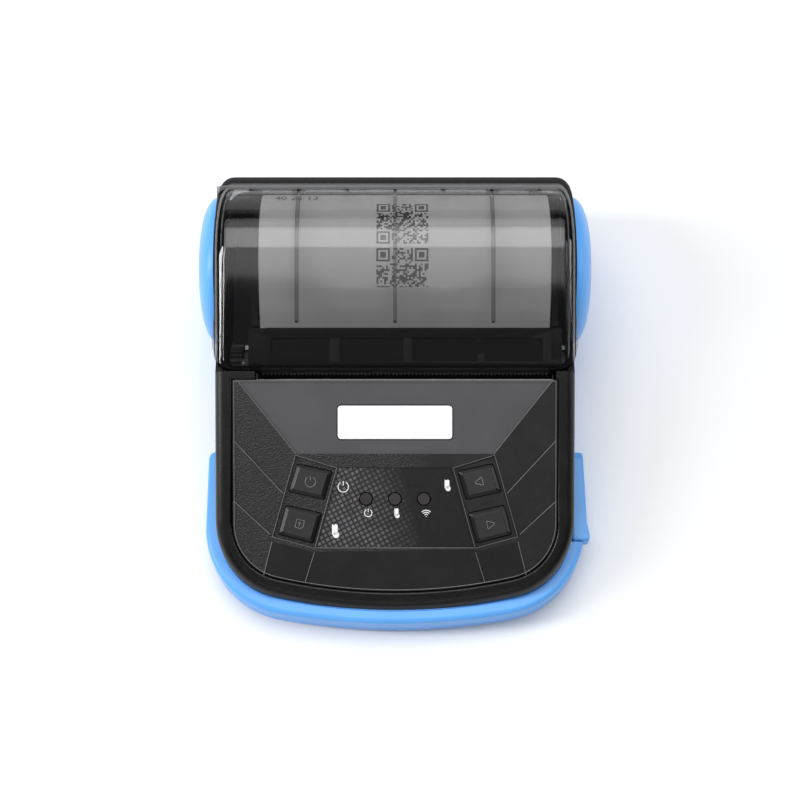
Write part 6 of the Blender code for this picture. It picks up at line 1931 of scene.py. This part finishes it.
@dataclass
class PlatenUnit(SubAssembly):
    """The platen with its shaft and bushes, the carrier that holds it and the tear bar."""

    cover: PaperCover
    centre: Point = (0.0054, 0.0294)
    radius: float = 0.0052
    bush: float = 0.0035
    bush_length: float = 0.003
    shaft: float = 0.0018
    left: float = -0.03835
    right: float = 0.04375
    plate: float = 0.0012
    length: float = 0.0105
    rear_drop: float = 0.0065
    windows: tuple[Point, ...] = ((-0.0335, -0.0177), (-0.0149, 0.0022), (0.0045, 0.0222), (0.0241, 0.0398))
    window: Point = (0.0009, 0.0068)
    lit: Point = (0.002, 0.0034)
    sunk: float = 0.0006
    ends: tuple[Point, ...] = ((-0.06, -0.0349), (0.0421, 0.06))
    chamfer: float = 0.0015
    gear_left: float = -0.04465
    edge: float = 0.0003
    clips: Point = (0.0022, 0.0012)
    clip: float = 0.0004
    tooth: Point = (0.00106, 0.0006)
    bar: Point = (0.0022, 0.0005)
    ground: float = 0.0003

    def build(self) -> None:
        """Build the unit and dress it."""
        frame = axle(*self.centre)
        bore = self.shaft + GAP
        low, high = LAY.roll_left - GAP, LAY.roll_right + GAP
        edge = self.edge
        rubber = Bench.lathe(drum(bore, self.radius, low, high, edge), frame, 96, True)
        Bench.dress(rubber, Look.RUBBER, "platen_sleeve", "rubber", "platen_rubber", body="platen")
        start, end = self.gear_left - GAP, self.right + self.plate + GAP + self.plate
        shaft, neck = self.shaft, self.shaft - edge
        profile = [(0.0, start), (neck, start), (shaft, start + edge)]
        for spot in (start + self.clips[0], end - self.clips[1]):
            profile += [(shaft, spot), (neck, spot), (neck, spot + self.clip), (shaft, spot + self.clip)]
        profile += [(shaft, end - edge), (neck, end), (0.0, end)]
        rod = Bench.lathe(profile, frame, 48)
        Bench.dress(rod, Look.STEEL, "platen_axle", "steel", "platen_shaft", body="platen")
        for name, start in (("left", self.left - self.plate - GAP - self.plate),
                            ("right", self.right + self.plate + GAP + self.plate - self.bush_length)):
            end = start + self.bush_length
            bush = Bench.lathe(drum(bore, self.bush, start, end, edge), frame, 48, True)
            labels = (f"shaft_bush_{name}", "bush_plastic", f"platen_bush_{name}")
            Bench.dress(bush, Look.BUSH, *labels, body="cover")
        self._carrier(frame)
        self._tear_bar()

    def _carrier(self, frame: Matrix) -> None:
        """Build the carrier: roof and rear wall along the cover, two side plates and a ribbed roof."""
        wall, plate = self.cover.wall, self.plate
        front = LAY.cover_front + wall + GAP
        rear = LAY.cover_front + self.length + plate
        roof = self.cover.line(wall + GAP, 0.0, front)[-1][1]
        ends = [self.cover.line(0.0, 0.0, y)[-1][1] for y in (front, rear)]
        slope = (ends[0] - ends[1]) / (front - rear)
        rear_roof = roof + slope * (rear - front)
        chin = self.centre[1] - self.bush - GAP - plate / 2
        outline = [
            (front, roof), (front, chin), (self.centre[0] + self.bush + plate, chin),
            (rear, rear_roof - self.rear_drop), (rear, rear_roof),
        ]
        carrier = Bench.prism(outline, self.left - plate, self.right + plate, ACROSS)
        Bench.soften(carrier, self.edge, 3)
        hollow = [
            (front - OVER, roof - plate - slope * OVER),
            (front - OVER, chin - OVER), (rear + OVER, chin - OVER),
            (rear + OVER, rear_roof - self.rear_drop), (rear - plate, rear_roof - self.rear_drop),
            (rear - plate, rear_roof - plate - slope * plate),
        ]
        bore = Bench.rod(self.bush + GAP, self.left - plate - OVER, self.right + plate + OVER, frame, 48)
        Bench.cut(carrier, Bench.prism(hollow, self.left, self.right, ACROSS), bore)
        for start, end in self.windows:
            low, high, sunk = front + self.window[0], front + self.window[1], self.sunk
            shape = [(low, roof + slope * self.window[0] - sunk), (low, roof + OVER), (high, roof + OVER),
                     (high, roof + slope * self.window[1] - sunk)]
            Bench.cut(carrier, Bench.prism(shape, start, end, ACROSS))
        for low, high in self.ends:
            step = [(front - OVER, roof + OVER), (front - OVER, roof - plate / 2),
                    (rear + OVER, rear_roof - plate / 2), (rear + OVER, rear_roof + OVER)]
            Bench.cut(carrier, Bench.prism(step, low, high, ACROSS))
        chamfer = [(rear - self.chamfer, rear_roof + OVER), (rear - self.chamfer, rear_roof),
                   (rear + self.chamfer, rear_roof - self.chamfer * 1.5), (rear + OVER, rear_roof + OVER)]
        Bench.cut(carrier, Bench.prism(chamfer, self.left - OVER, self.right + OVER, ACROSS))
        Bench.paint(carrier, Look.INNER, Look.DUSTY)
        middle, half = front + sum(self.lit) / 2, (self.lit[1] - self.lit[0]) / 2
        # Painted highlight: upward faces in a band along the roof take a paler black that stands in for light
        # falling there.
        Bench.patch(carrier, 1, lambda c, n: n.z > 0.8 and abs(c.y - middle) < half and c.z > roof - 0.0012)
        Bench.finish(carrier, "platen_carrier", "black_plastic", "platen_frame", body="cover")

    def _tear_bar(self) -> None:
        """Build the serrated strip behind the exit, its teeth ground on their underside."""
        (pitch, depth), (length, thickness) = self.tooth, self.bar
        low = self.cover.line(0.0, 0.0, LAY.cover_front)[-1][1] - LAY.lip - GAP
        teeth = int((LAY.roll_right - LAY.roll_left - pitch) // pitch)
        start = LAY.roll_middle - teeth * pitch / 2
        top: Outline = []
        for index in range(teeth):
            top += [(start + index * pitch, 0.0), (start + (index + 0.5) * pitch, -depth)]
        top.append((start + teeth * pitch, 0.0))
        back = [(start + teeth * pitch, length), (start, length)]
        ground = [(x, y + self.ground) for x, y in top]
        frame = Matrix.Translation((0, LAY.cover_front + depth / 3, low - thickness))
        bar = loft([(top + back, 0.0), (top + back, thickness * 0.4), (ground + back, thickness)], frame)
        Bench.dress(bar, Look.TEETH, "serrated_bar", "steel", "tear_bar", body="cover")


@dataclass
class Lever(SubAssembly):
    """The release lever in the right sill and its pin."""

    shell: LowerShell
    flare: float = 0.0009
    lip: float = 0.004
    out: float = 0.0005
    edge: float = 0.0006
    ridges: int = 4
    ridge_from: float = 0.0024
    ridge_pitch: float = 0.0013
    ridge_width: float = 0.0005
    ridge_margin: float = 0.0012
    pin_bore: Point = (0.0013, 0.0033)

    def build(self) -> None:
        """Build the lever and dress it."""
        rear, front = SILL_PLAN.rear, self.shell.lever_front
        bottom, top = self.shell.lever_bottom, LAY.parting
        half = (top - bottom) / 2
        pivot = (rear - half, top - half)
        inner, outer = LAY.case_half + GAP, SILL_PLAN.half + self.out
        side = arc(pivot, half, -math.pi / 2, math.pi / 2, 16) + [(front, top), (front, bottom)]
        lever = Bench.prism(side, inner, outer + self.flare, ACROSS)
        lip_y = front + self.lip
        plan = [
            (inner - OVER, front - OVER), (outer + self.flare / 2, front - OVER),
            (outer + self.flare, front + self.lip / 3), (outer + self.flare / 4, lip_y + self.lip / 4),
            (outer - self.flare / 4, rear + OVER), (inner - OVER, rear + OVER),
        ]
        Bench.combine(lever, Op.COMMON, Bench.prism(plan, bottom - OVER, top + OVER))
        Bench.soften(lever, self.edge, 4, 30)
        for index in range(self.ridges):
            y, margin = front + self.ridge_from + index * self.ridge_pitch, self.ridge_margin
            low = (outer + self.flare / 4 - 0.0001, y, bottom + margin)
            Bench.cut(lever, Bench.block(low, (outer + OVER, y + self.ridge_width, top - margin)))
        frame = axle(*pivot)
        Bench.cut(lever, Bench.rod(self.pin_bore[0], inner - OVER, inner + self.pin_bore[1], frame, 24))
        Bench.dress(lever, Look.BLUE, "blue_lever", "blue_plastic", "release_lever", body="lever")


@dataclass
class Underside(SubAssembly):
    """The battery and its door, the feet and the screws."""

    shell: LowerShell
    door_edge: float = 0.00015
    grooves: int = 5
    groove: Point = (0.0004, 0.009)
    groove_pitch: float = 0.0013
    arrow: tuple[Point, ...] = ((-0.0024, 0.0108), (0.0024, 0.0108), (0.0, 0.0076))
    pack: Point = (0.0016, 0.0133)
    pack_edge: float = 0.0015
    foot_edge: float = 0.0004
    foot_dish: float = 0.00012
    thread: float = 0.0058
    turns: int = 9
    slot: Point = (0.0012, 0.00022)
    slot_depth: float = 0.0006

    def build(self) -> None:
        """Build the pieces and dress them."""
        self._door()
        self._battery()
        for (x, y), end in zip(self.shell.feet, ("front", "rear")):
            for side, name in ((-1, "left"), (1, "right")):
                self._foot(side * x, y, f"{end}_{name}")
        for (x, y), end in zip(self.shell.screws, ("front", "rear")):
            for side, name in ((-1, "left"), (1, "right")):
                self._screw(side * x, y, f"{end}_{name}")

    def _door(self) -> None:
        """Build the sliding door with its grip lines and arrow."""
        (x0, y0), (x1, y1) = self.shell.battery_low, self.shell.battery_high
        reach, low = self.shell.door_margin, LAY.stand
        outline = rounded(box_outline((x0 - reach, y0 - reach), (x1 + reach, y1 + reach)), 0.0012, 5)
        edge, top = self.door_edge, low + self.shell.door_thickness
        door = loft([(offset(outline, -edge), low), (outline, low + edge), (outline, top)])
        radius, half = self.groove
        for index in range(self.grooves):
            groove = Bench.rod(radius, -half, half, axle(y0 + index * self.groove_pitch, low), 20)
            Bench.cut(door, groove)
        arrow = [(x, y0 + y) for x, y in self.arrow]
        Bench.cut(door, Bench.prism(rounded(arrow, 0.0003, 3), -OVER, low + 0.00025))
        Bench.dress(door, Look.CASE, "sliding_door", "black_plastic", "battery_door", body="battery_hatch")

    def _battery(self) -> None:
        """Build the battery in its shrink film."""
        (x0, y0), (x1, y1) = self.shell.battery_low, self.shell.battery_high
        pack = Bench.block((x0, y0, LAY.stand + self.pack[0]), (x1, y1, LAY.stand + self.pack[1]))
        Bench.soften(pack, self.pack_edge, 4)
        Bench.dress(pack, Look.WRAP, "wrapped_battery", "battery_wrap", "battery_pack")

    def _foot(self, x: float, y: float, name: str) -> None:
        """Build one rubber foot with a round edge and a dished middle."""
        radius, top = self.shell.foot_radius, LAY.stand + self.shell.foot_sink
        edge, dish = self.foot_edge, self.foot_dish
        profile = [(0.0, dish), (radius * 0.45, dish), (radius * 0.55, 0.0), (radius - edge, 0.0)]
        profile += arc((radius - edge, edge), edge, -math.pi / 2, 0, 5)[1:]
        profile += [(radius, top), (0.0, top)]
        foot = Bench.lathe(profile, Matrix.Translation((x, y, 0)), 64)
        Bench.dress(foot, Look.FOOT, f"rubber_foot_{name}", "rubber", f"foot_{name}")

    def _screw(self, x: float, y: float, name: str) -> None:
        """Build one screw with a round head, a cross recess and a plain shank."""
        shell = self.shell
        low, head, shank = LAY.stand, shell.screw_head, shell.screw_radius
        neck, tip = low + shell.screw_head_height, low + shell.screw_head_height + GAP + self.thread
        profile = [(0.0, low), (head * 0.8, low), (head * 0.93, low + 0.00012), (head, low + 0.0004),
                   (head, neck), (shank, neck)]
        run = (tip - shank - neck - 0.0004) / self.turns
        for index in range(self.turns):
            z = neck + 0.0004 + index * run
            profile += [(shank, z), (shank * 0.78, z + run / 2)]
        profile += [(shank, tip - shank), (shank / 2, tip), (0.0, tip)]
        spot = Matrix.Translation((x, y, 0)) @ Matrix.Rotation(0.4 + x * 90, 4, "Z")
        screw = Bench.lathe(profile, spot, 40)
        for turn in (0, math.pi / 2):
            slot = spot @ Matrix.Rotation(turn, 4, "Z")
            x, y = self.slot
            Bench.cut(screw, Bench.block((-x, -y, low - OVER), (x, y, low + self.slot_depth), slot))
        Bench.dress(screw, Look.STEEL, f"cross_screw_{name}", "steel", f"screw_{name}")


@dataclass
class Sockets(SubAssembly):
    """The data socket with its tongue and the power jack with its pin, in the left wall."""

    shell: LowerShell
    depth: float = 0.0064
    skin: float = 0.0004
    bore: float = 0.0016
    tongue: tuple[float, float, float] = (0.0009, 0.33, 0.00035)
    contacts: int = 9
    contact_pitch: float = 0.0005
    contact: Point = (0.00013, 0.00007)

    def build(self) -> None:
        """Build the sockets and dress them."""
        start = self.skin - LAY.case_half
        end = start + self.depth
        base = self.shell.socket_base
        y, (length, height) = self.shell.usb_y, self.shell.usb_size
        outline = rounded(box_outline((y - length / 2, base), (y + length / 2, base + height)), 0.0011, 6)
        room = offset(outline, -self.skin)
        socket = Bench.prism(outline, start, end, ACROSS)
        Bench.cut(socket, Bench.prism(room, start - OVER, end - self.skin, ACROSS))
        Bench.dress(socket, Look.ALUMINIUM, "data_socket", "sheet_metal", "usb_socket")
        middle = base + height / 2
        step, share, half = self.tongue
        tongue = Bench.block((start + step, y - length * share, middle - half),
                             (end - self.skin / 2, y + length * share, middle + half))
        Bench.soften(tongue, 0.0001, 2)
        Bench.dress(tongue, Look.INNER, "socket_tongue", "bush_plastic")
        contacts, (wide, thick) = [], self.contact
        for index in range(self.contacts):
            spot = y + (index - self.contacts // 2) * self.contact_pitch
            contacts.append(Bench.block((start + 0.0011, spot - wide, middle + half),
                                        (end - 0.001, spot + wide, middle + half + thick)))
        strip = Bench.join(contacts)
        Bench.dress(strip, Look.CONTACT, "socket_contacts", "sheet_metal")
        y, (length, height) = self.shell.jack_y, self.shell.jack_size
        jack = Bench.block((start, y - length / 2, base), (end, y + length / 2, base + height))
        Bench.soften(jack, 0.0003, 3)
        frame = axle(y, base + height / 2)
        Bench.cut(jack, Bench.rod(self.bore, start - OVER, end - self.skin, frame, 48))
        Bench.dress(jack, Look.INNER, "jack_block", "bush_plastic", "power_jack")
        profile = [(0.0, start + 0.0012), (0.00025, start + 0.0012), (0.00045, start + 0.0015),
                   (0.00045, end - self.skin / 2), (0.0, end - self.skin / 2)]
        pin = Bench.lathe(profile, frame, 24)
        Bench.dress(pin, Look.STEEL, "jack_pin", "steel")


@dataclass
class HingePins(SubAssembly):
    """The two steel pins that the cover swings on."""

    def build(self) -> None:
        """Build the pins and dress them."""
        reach = LAY.lug_reach
        radius, edge = LAY.pin, 0.0002
        for name, side in (("left", -1), ("right", 1)):
            low, high = span(side, LAY.lug_centre - reach, LAY.lug_centre + reach)
            pin = Bench.lathe(drum(0.0, radius, low, high, edge), hinge_frame(), 32)
            labels = (f"steel_hinge_pin_{name}", "steel", f"hinge_pin_{name}")
            Bench.dress(pin, Look.STEEL, *labels)


CARRIED: dict[Look, tuple[str, ...]] = {
    Look.GEAR: ("platen_gear", "idler_gear", "motor_pinion"),
    Look.SHEET: ("mech_frame", "stepper_motor"),
    Look.STEEL: ("idler_pin", "lever_pin", "head_spring_left", "head_spring_right"),
    Look.CERAMIC: ("print_head",),
    Look.ALUMINIUM: ("heat_sink",),
    Look.BOARD: ("main_board", "key_board"),
    Look.BUSH: (
        "key_switch_power", "key_switch_feed", "key_switch_back", "key_switch_forward", "paper_sensor",
        "battery_terminal",
    ),
}


def dress_mechanism(nodes: dict[str, Piece]) -> None:
    """Give the solids that stay as they are their procedural finishes."""
    for kind, names in CARRIED.items():
        for name in names:
            for index in range(len(nodes[name].material_slots)):
                nodes[name].material_slots[index].material = look(kind)
    LOG.info("mechanism: %d solids dressed", sum(len(names) for names in CARRIED.values()))


@dataclass(frozen=True)
class Softbox:
    """A large rectangular lamp that points at a place."""

    name: str
    place: tuple[float, float, float]
    target: tuple[float, float, float]
    size: tuple[float, float]
    power: float

    def light(self) -> None:
        """Put the lamp in the scene."""
        data = bpy.data.lights.new(self.name, "AREA")
        data.shape = "RECTANGLE"
        data.size, data.size_y = self.size
        data.energy = self.power
        lamp = bpy.data.objects.new(self.name, data)
        lamp.location = self.place
        aim = Vector(self.target) - Vector(self.place)
        lamp.rotation_euler = aim.to_track_quat("-Z", "Y").to_euler()
        bpy.context.scene.collection.objects.link(lamp)


@dataclass
class Studio:
    """The floor, lamps, backdrop and camera."""

    floor_half: float = 2.2
    floor_white: Colour = (0.95, 0.95, 0.95)
    sky: float = 0.2
    mirrored_sky: float = 0.08
    lens: float = 74.16
    camera_place: tuple[float, float, float] = (0.00135, -0.1581, 0.4502)
    camera_pitch: float = math.radians(20.0)
    lamps: tuple[Softbox, ...] = field(default_factory=lambda: (
        Softbox("overhead_core", (-0.05, 0.22, 1.05), (-0.05, 0.22, 0.0), (1.0, 0.5), 3.8),
        Softbox("overhead_wide", (-0.05, 0.255, 1.1), (-0.05, 0.255, 0.0), (1.3, 1.1), 5.6),
        Softbox("left_strip", (-0.8, -0.05, 0.58), (0.0, 0.0, 0.03), (0.16, 0.6), 5.2),
        Softbox("right_fill", (0.95, 0.1, 0.4), (0.0, 0.0, 0.02), (0.3, 0.3), 1.4),
        Softbox("front_fill", (0.0, -0.95, 0.62), (0.0, 0.0, 0.03), (0.8, 0.3), 1.2),
        Softbox("rear_fill", (0.1, 1.3, 0.55), (0.0, 0.05, 0.03), (1.6, 0.9), 3.2),
    ))

    def build(self) -> None:
        """Set the studio up round the printer."""
        bpy.ops.object.select_all(action="DESELECT")
        bpy.ops.mesh.primitive_plane_add(size=2 * self.floor_half, location=(0, 0, 0))
        floor = bpy.context.object
        floor.name = "studio_floor"
        net = Net("pale_floor")
        cloud = net.noise(6.0, 2.0)
        dusk = tuple(c * 0.985 for c in self.floor_white)
        floor.data.materials.append(net.close({
            "Base Color": net.mix(cloud, dusk, self.floor_white), "Roughness": 0.85 + cloud * 0.05,
            "Specular IOR Level": 0.2,
        }))
        floor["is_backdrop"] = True
        for lamp in self.lamps:
            lamp.light()
        self._backdrop()
        camera = bpy.data.cameras.new("photo_camera")
        camera.lens = self.lens
        camera.sensor_width = 36.0
        camera.clip_start = 0.01
        view = bpy.data.objects.new("photo_camera", camera)
        view.location = self.camera_place
        view.rotation_euler = (self.camera_pitch, 0, 0)
        bpy.context.scene.collection.objects.link(view)
        bpy.context.scene.camera = view

    def _backdrop(self) -> None:
        """Make a white backdrop for what the camera sees and a softer sky for the light."""
        net = Net("studio_sky", "worlds")
        rays = net.node("ShaderNodeLightPath").outputs

        def glow(**inputs: object) -> Socket:
            """Return a plain light with a colour and a strength."""
            return net.node("ShaderNodeBackground", None, inputs).outputs[0]

        def either(ray: str, others: Socket, those: Socket) -> Socket:
            """Return one light for a kind of ray and another for the rest."""
            return net.node("ShaderNodeMixShader", None, {0: rays[ray], 1: others, 2: those}).outputs[0]

        sky = glow(Color=(0.95, 0.96, 1.0, 1), Strength=self.sky)
        sky = either("Is Glossy Ray", sky, glow(Strength=self.mirrored_sky))
        sky = either("Is Camera Ray", sky, glow(Color=(1, 1, 1, 1), Strength=1.0))
        net.node("ShaderNodeOutputWorld", None, {"Surface": sky})
        bpy.context.scene.world = net.owner
        bpy.context.scene.view_settings.view_transform = "Standard"


def corners(box: Iterable[Iterable[float]]) -> list[list[float]]:
    """Return a box's corners as plain lists."""
    return [[float(value) for value in corner] for corner in box]


def main() -> None:
    """Load the frame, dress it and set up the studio."""
    logging.basicConfig(level=logging.INFO, format="%(message)s")
    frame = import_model()
    sizes = {"cad": corners(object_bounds())}
    bpy.ops.object.select_all(action="DESELECT")
    shell, panel, cover = LowerShell(), FacePanel(), PaperCover()
    for assembly in (
        shell, UpperCase(), panel, Keys(panel), cover, PaperSupply(), PlatenUnit(cover), Lever(shell),
        Underside(shell), Sockets(shell), HingePins(),
    ):
        LOG.info("building %s", type(assembly).__name__)
        assembly.build()
    dress_mechanism(frame["nodes"])
    Studio().build()
    sizes["visual"] = corners(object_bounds())
    LOG.info("sizes: %s", sizes)


if __name__ == "__main__":
    main()
